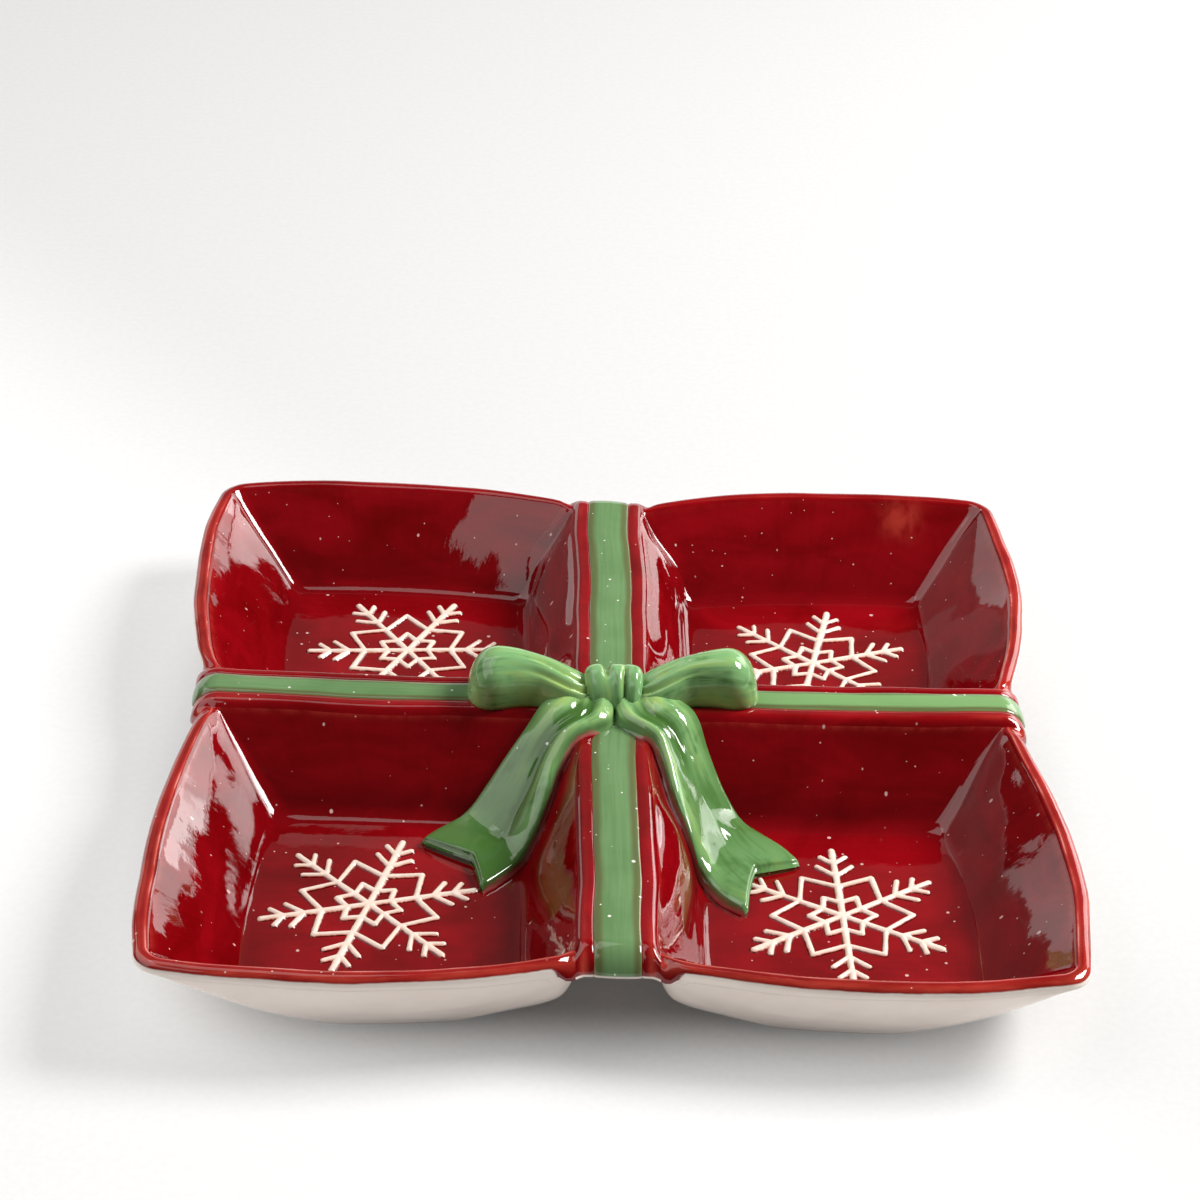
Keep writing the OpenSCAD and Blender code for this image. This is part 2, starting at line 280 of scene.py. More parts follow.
def ring_plan(i, o, ra, rb, rc):
    """Ring round a well, with each point's share of the outer side: 0 along the straps, 1 along the rim.

    ra, rb and rc are the radii of its corners at the crossing, at the straps' ends and at the rim."""
    return np.concatenate([
        corner(o - rb, i + rb, rb, -90, 0, 1),
        side((o, i + rb), (o, o - rc), 1),
        corner(o - rc, o - rc, rc, 0, 1, 1),
        side((o - rc, o), (i + rb, o), 1),
        corner(i + rb, o - rb, rb, 90, 1, 0),
        side((i, o - rb), (i, i + ra), 0),
        corner(i + ra, i + ra, ra, 180, 0, 0),
        side((i + ra, i), (o - rb, i), 0),
    ])


RIM_FIRST = CORNER_N
RIM_LAST = RIM_FIRST + 2 * SIDE_N + CORNER_N + 1


def ring(i, zi, d, zo, ra, rb, rc):
    """Ring at the height zi along the straps, and at the inset d and the height zo along the rim."""
    x, y, w = ring_plan(i, RIM_REACH - d, ra, rb, rc).T
    return stack(bowed(x, y), bowed(y, x), mix(zi, zo, ease(w)))


def fillet(dx, dz, t):
    """Way in from the foot of a wall, and height, along the fillet to the floor."""
    slope = math.atan2(dz, dx)
    turn = slope * t
    return FLOOR_FILLET * (math.tan(slope / 2) - math.sin(turn)), FLOOR_FILLET * (1 - math.cos(turn))


# Rolled lip and turned-down strap end: curves over the rim with the same count of points
def lip_roll(t):
    """Inset and height of the lip, from its inside (0) to its outside (1)."""
    a = mix(LIP_START, LIP_END, t)
    return LIP_R * (1 - np.cos(a)), LIP_Z + LIP_R * np.sin(a)


LIP_IN, LIP_IN_Z = lip_roll(0.0)
LIP_OUT, LIP_OUT_Z = lip_roll(1.0)
NOSE_R = STRAP_REACH - RIM_REACH + LIP_IN
NOSE_STOP = math.asin((STRAP_END - STRAP_TOP + NOSE_R) / NOSE_R)


def strap_profile(e):
    """Height over the strap's top line, e across it: groove, crest and round shoulder."""
    e = np.abs(e)
    groove = np.clip((CREST_IN - e) / (CREST_IN - RIBBON_HALF), 0, 1)
    shoulder = np.clip((e - CREST_OUT) / (STRAP_HALF - CREST_OUT), 0, 1)
    bead = -BEAD_GROOVE * (1 - np.sqrt(1 - groove ** 2)) - BEAD_FALL * shoulder ** 2
    return np.where(e < RIBBON_HALF - TOUCH, -CHANNEL_DEPTH, bead)


def strap_columns():
    """Ways across half a strap: channel, then bead."""
    mid, half = (STRAP_HALF + RIBBON_HALF) / 2, (STRAP_HALF - RIBBON_HALF) / 2
    bead = mid - half * np.cos(np.linspace(0, math.pi, BEAD_N + 1))
    return np.concatenate([[0, RIBBON_HALF / 2, RIBBON_HALF - CHANNEL_EDGE], bead])


def nose_path(t):
    """Reach, height and normal angle along the strap's turned-down end."""
    turn = mix(math.pi / 2, NOSE_STOP, t)
    return STRAP_REACH - NOSE_R * (1 - np.cos(turn)), STRAP_TOP - NOSE_R * (1 - np.sin(turn)), turn


def flare(t):
    """How much wider the strap's shoulder grows downwards."""
    return 1 + END_FLARE * ramp(t, FLARE_START, 1 - FLARE_START)


def strap_end(t, e):
    """Point of the strap's end: t over the rim, e across the strap."""
    reach, height, turn = nose_path(t)
    wide = np.maximum(np.abs(e) - FLARE_FROM, 0)
    over = strap_profile(np.abs(e) - wide * (1 - 1 / flare(t)))
    return stack(reach + over * np.cos(turn), e, height + over * np.sin(turn))


def over_rim(t, y, lip):
    """Lip point, eased into the strap's end near the strap along x."""
    start = FLARE_FROM + (MERGE_START - FLARE_FROM) * flare(t)
    share = ramp(y, start, MERGE_END - MERGE_START)[..., None]
    return mix(strap_end(t, y), lip, share)


def rim_line(t):
    """The rim from strap to strap, at the share t over the lip."""
    d, z = lip_roll(t)
    radius = mix(CORNER_IN_R, CORNER_R, ease(t / CORNER_GROWN))
    x, y, _ = ring_plan(STRAP_HALF, RIM_REACH - d, 0, 0, radius)[RIM_FIRST:RIM_LAST].T
    lip = stack(bowed(x, y), bowed(y, x), z)
    near_x = over_rim(t, y, lip)
    near_y = swap(over_rim(t, x, swap(lip)))
    return np.where((y < x)[:, None], near_x, near_y)


def arm_end(t, e):
    """The strap's end, eased into the lip at its edges."""
    d, z = lip_roll(t)
    return over_rim(t, e, stack(RIM_REACH - d, e, z))


def with_rim(line, t):
    """Ring with the rim as its outer side, and its strap corners drawn into that side's ends."""
    line[RIM_FIRST:RIM_LAST] = rim_line(t)
    line[:RIM_FIRST] = line[RIM_FIRST]
    line[RIM_LAST:RIM_LAST + CORNER_N] = line[RIM_LAST - 1]
    return line


def patch(points, up, closed, across, drop=0.0, thin=0.0, pool_and_shade=0.0, upright=False):
    """A patch's points, upward sign, closed, stroke marks and coat marks.

    A stroke mark is the way along and across, the other way round when upright. A coat mark is the way down
    the outside, the thin glaze on edges with a painted highlight line along the lip, and the pooled glaze
    with painted shade in creases and over the walls."""
    marks = stack(drop, thin, pool_and_shade)
    if marks.ndim == 2:
        marks = marks[:, None, :]
    if across is None:
        stroke = points * np.array([1, 1, 0])
    else:
        middle = lengths(points[len(points) // 2])
        stroke = stack(middle[None, :], np.asarray(across)[:, None], 0.0)
    stroke = swap(stroke) if upright else stroke
    return points, up, closed, stroke, np.broadcast_to(marks, points.shape)


def well_patches():
    """Floor, fillet, and walls up to the straps and the lip."""
    feet = []
    for t in shares(FILLET_N):
        strap_in, strap_up = fillet(WALL_RUN, SHOULDER - FLOOR_Z, t)
        rim_in, rim_up = fillet(FLOOR_INSET - LIP_IN, LIP_IN_Z - FLOOR_Z, t)
        feet.append(ring(FLOOR_IN + strap_in, FLOOR_Z + strap_up, FLOOR_INSET + rim_in, FLOOR_Z + rim_up,
                         WELL_CORNER_R, WELL_CORNER_R, CORNER_IN_R))
    middle = feet[0].mean(0)
    low = np.stack([mix(middle, feet[0], t) for t in shares(FLOOR_N)[:-1]] + feet)
    # Dark red in the crease round the floor: pooled glaze and painted shade
    crease = hill(np.arange(len(low)), FLOOR_N + FILLET_N / 2, FILLET_N * CREASE_WIDTH)
    top = with_rim(ring(STRAP_HALF, SHOULDER, LIP_IN, LIP_IN_Z, 0, 0, CORNER_R), 0.0)
    up_wall = shares(WALL_N)
    high = np.stack([mix(feet[-1], top, t) for t in up_wall])
    across = lengths_down(high)[SIDE_N // 2]
    # Dark red over the walls is painted shade, and more at their foot is pooled glaze with painted shade
    pool_and_shade = WALL_PAINTED_SHADE + FOOT_POOL_AND_SHADE * hill(up_wall, 0, FILLET_N / WALL_N)
    thin = WALL_THIN * ramp(up_wall, *WALL_THIN_SPAN)
    return [patch(low, 1, True, None, pool_and_shade=crease),
            patch(high, 1, True, across, upright=True, pool_and_shade=pool_and_shade, thin=thin)]


def strap_patches():
    """Straps with their beads, and the crossing between them."""
    columns = strap_columns()
    profile = strap_profile(columns)
    along = mix(STRAP_HALF, RIM_REACH - LIP_IN, steps(SIDE_N))
    rolls = shares(LIP_N)
    arm = stack(along[None, :], columns[:, None], STRAP_TOP + profile[:, None])
    arm[:, -1] = arm_end(0.0, columns)
    end = np.stack([arm_end(t, columns) for t in rolls], 1)
    worn = hill(columns, STRAP_HALF - BEAD_WORN, BEAD_WORN_WIDTH)[:, None]
    arm_thin = worn * mix(*ARM_THIN, ramp(along, along[-1] - ARM_THIN_RUN, ARM_THIN_RUN))
    end_thin = worn * mix(*END_THIN, ease(rolls))
    tip_bare = TIP_BARE * ramp(rolls, *TIP_SPAN)[None, :]
    patches = []
    for arm_side, end_side in ((arm, end), (swap(arm), swap(end))):
        patches.append(patch(arm_side, 1, False, columns, thin=arm_thin))
        patches.append(patch(end_side, 1, False, columns, drop=tip_bare, thin=end_thin))
    height = STRAP_TOP + np.maximum(profile[:, None], profile[None, :])
    crossing = stack(columns[:, None], columns[None, :], height)
    return patches + [patch(crossing, 1, False, columns)]


def lip_patch():
    """Rolled lip, and how far its lower edge is into the bare outside."""
    rolls = shares(LIP_N)
    lip = np.stack([rim_line(t) for t in rolls])
    across = lengths_down(lip)[SIDE_N]
    beside = ramp(lip[-1, :, :2].min(-1), WRAP_FROM, WRAP_FADE)
    bared = np.maximum(across - WRAP_SHARE * across[-1], 0)[:, None] * beside
    # A painted highlight line along the lip's inner edge, and a band of thin glaze
    thin = hill(rolls, *LIP_HIGHLIGHT_LINE) + LIP_BAND_SHARE * hill(rolls, *LIP_BAND)
    return patch(lip, 1, False, across, drop=bared, thin=thin[:, None]), bared[-1]


def outer_ring(t):
    """Ring of the outer wall, t from the lip to the foot."""
    turn = math.pi / 2 * t
    return ring(STRAP_HALF + FOOT_STRAP_INSET * (1 - math.cos(turn)), JOINT_Z * (1 - math.sin(turn)),
                LIP_OUT + (FOOT_INSET - LIP_OUT) * t ** OUTER_POWER, LIP_OUT_Z * (1 - t),
                FOOT_STRAP_R * t, FOOT_STRAP_R * t, mix(CORNER_R, FOOT_CORNER_R, t ** FOOT_CORNER_POWER))


def outside_patches(bared):
    """Outer wall down to the foot, and the foot itself."""
    edge = with_rim(ring(STRAP_HALF, JOINT_Z, LIP_OUT, LIP_OUT_Z, 0, 0, CORNER_R), 1.0)
    reach = mix(STRAP_HALF, edge[RIM_FIRST, 0], steps(SIDE_N))
    first = RIM_LAST + CORNER_N
    edge[-(SIDE_N - 1):, 0] = reach[1:-1]
    edge[first:first + SIDE_N - 1, 1] = reach[-2:0:-1]
    outside = np.stack([edge] + [outer_ring(t) for t in shares(OUTER_N)[1:]])
    down = lengths_down(outside)
    around = np.zeros(outside.shape[1])
    around[RIM_FIRST:RIM_LAST] = bared
    foot = outside[-1]
    inward = shares(FLOOR_N)
    sole = np.stack([mix(foot, foot.mean(0), t) for t in inward])
    return [patch(outside, -1, True, down[SIDE_N], drop=down.T + around),
            patch(sole, -1, True, SOLE_DROP * inward, drop=SOLE_DROP)]


def under_patches():
    """Underside of the straps and of the crossing."""
    under = np.linspace(0, STRAP_HALF, UNDER_N + 1)
    tips = arm_end(1.0, under)
    share = steps(SIDE_N)
    vault = mix(CEILING, JOINT_Z, (under / STRAP_HALF) ** VAULT_POWER)
    lower = ramp(share, *UNDER_TIP)
    height = mix(vault[:, None], tips[:, 2:], lower)
    ceiling = stack(mix(STRAP_HALF, tips[:, :1], share), under[:, None], height)
    drop = mix(*UNDER_DROP, lower)[None, :]
    centre = stack(under[:, None], under[None, :], np.minimum(vault[:, None], vault[None, :]))
    return [patch(ceiling, -1, False, under, drop=drop),
            patch(swap(ceiling), -1, False, under, drop=drop),
            patch(centre, -1, False, under, drop=UNDER_DROP[0])]


def dish_quarter():
    """Patches of one quarter of the dish."""
    lip, bared = lip_patch()
    return well_patches() + strap_patches() + [lip] + outside_patches(bared) + under_patches()


# Small departures of the hand-finished dish from its drawing: pulls at its corners and at the straps' ends
CORNER_PULLS = {
    (-1, -1): (-2.6, -2.0, 0.2),
    (1, -1): (0.4, -0.6, 0.0),
    (-1, 1): (0.3, -0.6, 0.1),
    (1, 1): (-0.6, -0.4, 0.0),
}
ARM_PULLS = {
    (-1, 0): (-2.0, 3.6, 0.0),
    (1, 0): (-0.5, 1.4, 0.0),
    (0, -1): (0.0, 0.8, 0.2),
    (0, 1): (0.0, -1.4, 0.0),
}
ARM_SPREAD = 45.0
PULL_LIMIT = 1.1
# Waves: size, length and phase
WAVES = ((0.30, 83.0, 0.4), (0.16, 47.0, 1.9), (0.07, 29.0, 3.1), (0.03, 17.0, 5.2))
WAVE_TURN, WAVE_LIFT = -1.7, 0.6
# Walls beside the side straps, drawn to the back: way by y, and where that starts along x and up the wall
SQUEEZE_AT = (-34.0, -28.6, -13.0, -7.3, 7.3, 13.0, 28.6)
SQUEEZE_BY = (0.0, 0.4, 4.5, 5.0, 1.2, 1.0, 0.0)
SQUEEZE_SPAN, SQUEEZE_RISE = (10.0, 18.0), 20.0
# Walls beside the front and back straps: bulge, the rise where it starts, and its growth and fading along y
FLANK_BULGE, FLANK_RISE = 5.4, 6.0
FLANK_BACK, FLANK_BACK_SHARE = ((38.0, 22.0), (128.0, -16.0)), 0.8
FLANK_FRONT = ((-132.0, 70.0), (-38.0, -22.0))
# Front sides that stand out beside the strap
FRONT_SWELL, SWELL_POWER, SWELL_DEPTH = 4.6, 0.9, 5
SWELL_SPAN = (10.0, 8.0)


def flank(x, y, z):
    """Lift of the walls beside the front and back straps, but for the front left one."""
    across = np.clip((np.abs(x) - STRAP_HALF) / WALL_RUN, 0, 1)
    in_back, in_front = (ramp(y, *grow) * ramp(y, *fade) for grow, fade in (FLANK_BACK, FLANK_FRONT))
    along = np.where(y > 0, FLANK_BACK_SHARE * in_back, in_front)
    bulge = FLANK_BULGE * ((x >= 0) | (y >= 0))
    return bulge * 4 * across * (1 - across) * along * ramp(z, FLOOR_Z, FLANK_RISE)


def front_swell(x, y):
    """Way out of the front sides beside the strap."""
    along = (1 - side_share(np.abs(x))) ** SWELL_POWER * ramp(np.abs(x), *SWELL_SPAN)
    return FRONT_SWELL * along * np.clip(-y / RIM_REACH, 0, 1) ** SWELL_DEPTH


def squeeze(x, y, z):
    """Way to the back of the walls beside the side straps."""
    way = np.interp(y, SQUEEZE_AT, SQUEEZE_BY)
    return way * ramp(np.abs(x), *SQUEEZE_SPAN) * ramp(z, FLOOR_Z, SQUEEZE_RISE)


def pull_share(way, reach):
    return np.clip(way / reach, 0, PULL_LIMIT) ** 2


def handmade(points):
    """Points of the drawing, moved to where the hand-finished dish has them."""
    x, y, z = points.T
    moved = points.copy()
    moved[:, 2] += flank(x, y, z)
    moved[:, 1] -= front_swell(x, y)
    moved[:, 1] += squeeze(x, y, z)
    for (sx, sy), pull in CORNER_PULLS.items():
        moved += np.outer(pull_share(sx * x, RIM_REACH) * pull_share(sy * y, RIM_REACH), pull)
    for (sx, sy), pull in ARM_PULLS.items():
        beside = hill(sy * x + sx * y, 0, ARM_SPREAD)
        moved += np.outer(pull_share(sx * x + sy * y, STRAP_REACH) * beside, pull)
    lift = np.clip(z / RIM_H, 0, 1)
    for k, (size, length, phase) in enumerate(WAVES):
        a = 2 * math.pi * x / length + phase
        b = 2 * math.pi * y / length + phase * WAVE_TURN
        c = 2 * math.pi * z / length + k
        moved[:, 0] += size * lift * np.sin(b + c)
        moved[:, 1] += size * lift * np.sin(a - c)
        moved[:, 2] += size * lift * WAVE_LIFT * np.sin(a + b)
    return moved


def link(name, data):
    """A new object in the scene."""
    thing = bpy.data.objects.new(name, data)
    bpy.context.scene.collection.objects.link(thing)
    return thing


def make(name, mesh, material, slot_name, *nodes):
    """A piece that stands for CAD nodes."""
    mesh.materials.append(material)
    piece = link(name, mesh)
    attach(piece, "root")
    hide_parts(*nodes)


QUARTERS = {"front_left": (-1, -1), "front_right": (1, -1), "back_left": (-1, 1), "back_right": (1, 1)}
ARMS = {"front": (0, -1), "back": (0, 1), "left": (-1, 0), "right": (1, 0)}
SIDES = {"left": -1, "right": 1}
# Shifts of the stroke marks, so that like pieces have other brush strokes
QUARTER_STROKES = (31.0, 17.0)
ARM_STROKES = (50.0, 130.0)
LOOP_STROKE, TAIL_STROKE = 60.0, 90.0


def make_dish(material):
    """Four mirrored quarters, welded into one casting."""
    work = Patchwork()
    for sx, sy in QUARTERS.values():
        for points, up, closed, stroke, coat in dish_quarter():
            stroke = stroke + np.array([sx * QUARTER_STROKES[0], sy * QUARTER_STROKES[1], 0])
            # Less thin glaze and a weaker painted highlight line near the back rim
            thin = mix(1, BACK_THIN_AND_HIGHLIGHT, ramp(sy * points[..., 1], *BACK_SPAN))
            coat = coat * stack(1.0, thin, 1.0)
            work.grid(points * np.array([sx, sy, 1]), up, closed, stroke=stroke * MM, coat=coat)
    nodes = [f"bowl_{q}" for q in QUARTERS] + [f"bridge_{a}" for a in ARMS] + ["bridge_centre"]
    make("dish", work.mesh("dish", handmade), material, "red_glaze", *nodes)


# Ribbons
RIBBON_START = 7.6
RIBBON_ROWS = 40
RIBBON_COLS = 28
RIBBON_SINK, RIBBON_UNDER = 0.75, 0.2
RIBBON_EDGE_POWER = 14
RIBBON_GROW = 0.15
# The right ribbon is painted paler: a painted sheen
RIBBON_SHEEN = {"right": 0.8}
RIBBON_CUT = (0.5, 0.0, 0.0)


def ribbon_section():
    """Ways across and up, over the crowned top and back along the underside."""
    v = np.sin(np.linspace(-1, 1, RIBBON_COLS + 1) * math.pi / 2)
    wide = v * (RIBBON_HALF + RIBBON_GROW)
    crown = RIBBON_SINK + RIBBON_CROWN * (1 - v ** 2)
    top = -RIBBON_SINK + crown * (1 - np.abs(v) ** RIBBON_EDGE_POWER) ** 0.5
    bottom = np.full_like(top, -RIBBON_SINK - RIBBON_UNDER)
    return np.concatenate([wide, wide[::-1]]), np.concatenate([top, bottom])


def make_ribbon(arm, material):
    """Crowned band in the strap's channel, folded down at the strap's end."""
    across, section = ribbon_section()
    straight = mix(RIBBON_START, RIM_REACH - LIP_IN, shares(RIBBON_ROWS))[:-1]
    rows = [stack(x, across, STRAP_TOP + section) for x in straight]
    for t in shares(LIP_N * 2):
        reach, height, turn = nose_path(t)
        rows.append(stack(reach + section * np.cos(turn), across, height + section * np.sin(turn)))
    rows = np.stack(rows)
    run = lengths_down(rows)[RIBBON_COLS // 2]
    cx, cy = ARMS[arm]
    turned = stack(rows[..., 0] * cx - rows[..., 1] * cy, rows[..., 0] * cy + rows[..., 1] * cx, rows[..., 2])
    stroke = stack(run[:, None] + ARM_STROKES[0] * cx + ARM_STROKES[1] * cy, across[None, :], 0.0)
    coat = stack(np.abs(across)[None, :] / RIBBON_HALF, (run[-1] - run)[:, None], RIBBON_SHEEN.get(arm, 0.0))
    work = Patchwork()
    work.grid(turned, 1, True, stroke=stroke * MM, coat=coat)
    for row in (turned[0], turned[-1]):
        halves = np.stack([row[:RIBBON_COLS + 1], row[:RIBBON_COLS:-1]])
        work.grid(halves, stroke=np.zeros(3), coat=np.array(RIBBON_CUT))
    name = f"ribbon_{arm}"
    make(name, work.mesh(name, handmade), material, "ribbon_glaze", name)


# Bow
SEAT = span("bow_loop_right")[0][2]
LOOP_REACH = span("bow_loop_right")[1][0] + 0.4
LOOP_START = 6.0
# Shares along a loop, with its reach to the front and back and its height there
LOOP_AT = np.array([0.0, 0.12, 0.30, 0.48, 0.64, 0.78, 1.0])
LOOP_FRONT = np.array([4.8, 7.8, 9.8, 9.8, 10.8, 12.6, 14.0])
LOOP_BACK = np.array([4.6, 6.8, 8.8, 10.4, 11.6, 12.2, 12.4])
LOOP_TALL = np.array([5.8, 8.7, 12.2, 14.4, 15.8, 16.4, 15.6])
LOOP_SWAYS = {"left": 0.0, "right": 3.4}
LOOP_FULLNESS = 0.80
LOOP_END, LOOP_BLUNT = 0.76, 2.7
LOOP_SPLAY, SPLAY_SPAN = 2.2, (0.5, 0.5)
LOOP_SINK = 3.4
BELLY_SHARE, BELLY_END, BELLY_POWER = 0.17, 0.3, 0.5
# Gathers: angle, depth, width and drift round the loop, with where they start and end along it
GATHERS = ((72, 1.9, 7, -16), (101, 2.5, 7, -8), (130, 2.7, 8, 6))
GATHER_SPAN, GATHER_REACH = (-0.024, 0.06), 0.64
# Marks of a loop: pale by the knot and along the front, bare below, and deep green by the knot and below,
# which is painted shade in the crease at the knot and on the lower side
PALE_START, PALE_START_END = 0.4, 0.25
PALE_FRONT, PALE_FRONT_SPAN = 0.9, (184, 24)
LOOP_BARE_SPAN = (0.35, 0.40)
BARE_LINE, BARE_LINE_SPAN, BARE_LINE_START = 0.5, (158, 4), (0.8, 0.1)
DEEP_END = 0.10
DEEP_BELOW, DEEP_BELOW_SPAN = 0.15, (-0.25, 0.3)
LOOP_ROWS, LOOP_COLS = 64, 120
KNOT_HALF_W = span("bow_knot")[1][0] + 0.2
KNOT_HALF_D = span("bow_knot")[1][1] - 1.6
KNOT_H = 12.6
KNOT_FRONT, KNOT_FULLNESS = 8.8, 1.3
KNOT_SINK = 1.0
KNOT_END, KNOT_END_POWER, KNOT_END_ROUND = 0.45, 5, 0.4
KNOT_CORE, KNOT_NARROW = 3.0, 0.16
# Folds of the knot: place along it, depth, width, angle and spread round it
KNOT_FOLDS = (
    (-0.24, 2.0, 0.12, 74, 40),
    (0.36, 1.8, 0.075, 138, 66),
    (-0.88, 1.2, 0.10, 140, 50),
    (0.12, -0.55, 0.11, 150, 46),
    (0.70, -0.6, 0.11, 150, 46),
)
# Knot marks: bare below, pale in the folds, and deep green in the folds as painted shade
KNOT_BARE_SPAN, KNOT_PALE = (0.5, 0.3), 0.5
KNOT_DEEP, KNOT_DEEP_AT = 0.4, 1.8
KNOT_ROWS, KNOT_COLS = 76, 88


def through(knots, values, t):
    """Smooth curve through the values at the knots."""
    slopes = np.gradient(values, knots, axis=0)
    k = np.clip(np.searchsorted(knots, t, side="right") - 1, 0, len(knots) - 2)
    width = (knots[k + 1] - knots[k]).reshape(k.shape + (1,) * (values.ndim - 1))
    u = (t - knots[k]).reshape(width.shape) / width
    start, stop = (1 + 2 * u) * (1 - u) ** 2, u * u * (3 - 2 * u)
    leave, arrive = u * (1 - u) ** 2 * width, u * u * (u - 1) * width
    return start * values[k] + stop * values[k + 1] + leave * slopes[k] + arrive * slopes[k + 1]


def smooth_rows(values, rounds):
    """Softens a field along its rows, with the ends held."""
    for _ in range(rounds):
        middle = (values[:-2] + 2 * values[1:-1] + values[2:]) / 4
        values = np.concatenate([values[:1], middle, values[-1:]])
    return values


def sine_steps(count):
    """Shares from -1 to 1, closer together at both ends."""
    return np.sin(np.linspace(-math.pi / 2, math.pi / 2, count + 1))


def full_turn(count):
    return np.linspace(0, 2 * math.pi, count, endpoint=False)[None, :]


def pillow(front, back, high, end, a, dip, sink, full):
    """Ways across and up round a stuffed form on the seat, with the angle a from its back over its top."""
    c, s = np.cos(a), np.sin(a)
    across = np.where(c > 0, back, front) * end * np.sign(c) * np.abs(c) ** full
    top = (high * (1 - BELLY_SHARE) * end - dip) * np.abs(s) ** full
    low = -(high * BELLY_SHARE * mix(end, 1, BELLY_END) + sink) * np.abs(s) ** BELLY_POWER
    return across, high * BELLY_SHARE + np.where(s > 0, top, low)


def outward(mesh):
    """Turns a closed mesh's faces outward."""
    corners = np.array([v.co for v in mesh.vertices])
    volume = 0.0
    for face in mesh.polygons:
        p = corners[list(face.vertices)]
        for k in range(1, len(p) - 1):
            volume += np.dot(p[0], np.cross(p[k], p[k + 1]))
    if volume < 0:
        mesh.flip_normals()
    return mesh


def make_bow_piece(name, work, material):
    make(name, outward(work.mesh(name, handmade)), material, "bow_glaze", name)


def loop_coat(s, a, dip, sign):
    """Bare edges, pale folds with a painted highlight in the gathers, and deep green with painted shade by
    the knot and below. The left one's end has a bare line.
    """
    turn = np.degrees(a)
    by_knot = PALE_START * np.clip(1 - s / PALE_START_END, 0, 1)
    # Pale in the gathers' grooves is a painted highlight
    fold = np.clip(dip, 0, 1) + by_knot + PALE_FRONT * hill(turn, *PALE_FRONT_SPAN)
    edge = ramp(-np.sin(a), *LOOP_BARE_SPAN) * np.ones_like(s)
    if sign < 0:
        edge = np.maximum(edge, BARE_LINE * hill(turn, *BARE_LINE_SPAN) * ramp(s, *BARE_LINE_START))
    # Deep green by the knot and on the lower side is painted shade
    pool_and_shade = np.clip(1 - s / DEEP_END, 0, 1) + DEEP_BELOW * ramp(-np.sin(a), *DEEP_BELOW_SPAN)
    return stack(edge, fold, pool_and_shade)


def make_loop(hand, material):
    """Puffed loop: gathered at the knot, full and blunt at its end."""
    sign = SIDES[hand]
    s = np.sin(np.linspace(0, math.pi / 2, LOOP_ROWS + 1))[:, None]
    a = full_turn(LOOP_COLS)
    front, back, tall = (through(LOOP_AT, table, s) for table in (LOOP_FRONT, LOOP_BACK, LOOP_TALL))
    end = (1 - np.clip((s - LOOP_END) / (1 - LOOP_END), 0, 1) ** LOOP_BLUNT) ** (1 / LOOP_BLUNT)
    dip = sum(depth * hill(np.degrees(a), angle + drift * s, width) for angle, depth, width, drift in GATHERS)
    dip = dip * np.clip(1 - s / GATHER_REACH, 0, 1) * ramp(s, *GATHER_SPAN)
    across, up = pillow(front, back, tall, end, a, dip, LOOP_SINK, LOOP_FULLNESS)
    splay = LOOP_SPLAY * ramp(s, *SPLAY_SPAN) * (0.5 - up / tall)
    x = mix(LOOP_START, LOOP_REACH - LOOP_SPLAY / 2, s) + splay
    points = stack(sign * x, LOOP_SWAYS[hand] * s + across, SEAT + up)
    stroke = stack(x + LOOP_STROKE * sign, lengths(points)[LOOP_ROWS // 2][None, :], 0.0)
    work = Patchwork()
    work.grid(points, None, True, stroke=stroke * MM, coat=loop_coat(s, a, dip, sign))
    make_bow_piece(f"bow_loop_{hand}", work, material)


def make_knot(material):
    """Tied knot with folds across it, closed at both ends."""
    u = sine_steps(KNOT_ROWS)[:, None]
    a = full_turn(KNOT_COLS)
    dip = np.zeros_like(u * a)
    for place, depth, width, angle, spread in KNOT_FOLDS:
        dip = dip + depth * (hill(u, place, width) * hill(np.degrees(a), angle, spread, 4))
    end = mix(KNOT_END, 1, (1 - np.abs(u) ** KNOT_END_POWER) ** KNOT_END_ROUND)
    full = np.where(np.cos(a) < 0, KNOT_FULLNESS, LOOP_FULLNESS)
    across, up = pillow(KNOT_FRONT, KNOT_HALF_D, KNOT_H, end, a, 0.0, KNOT_SINK, full)
    belly = KNOT_H * BELLY_SHARE
    shrink = 1 - dip / np.maximum(np.hypot(across, up - belly), KNOT_CORE)
    narrow = 1 - KNOT_NARROW * ease(1 - up / KNOT_H)
    points = stack(u * KNOT_HALF_W * narrow, across * shrink, SEAT + belly + (up - belly) * shrink)
    caps = [np.broadcast_to(points[k].mean(0), points[k].shape)[None] for k in (0, -1)]
    points = np.concatenate([caps[0], points, caps[1]])
    dip = np.concatenate([dip[:1], dip, dip[-1:]])
    stroke = stack(lengths(points)[KNOT_ROWS // 2][None, :], points[..., 0], 1.0)
    edge = ramp(-np.sin(a), *KNOT_BARE_SPAN)
    # Deep green in the folds is painted shade
    coat = stack(edge, np.clip(dip, 0, 1) * KNOT_PALE, np.clip(dip / KNOT_DEEP_AT, 0, 1) * KNOT_DEEP)
    work = Patchwork()
    work.grid(points, None, True, stroke=stroke * MM, coat=coat)
    make_bow_piece("bow_knot", work, material)


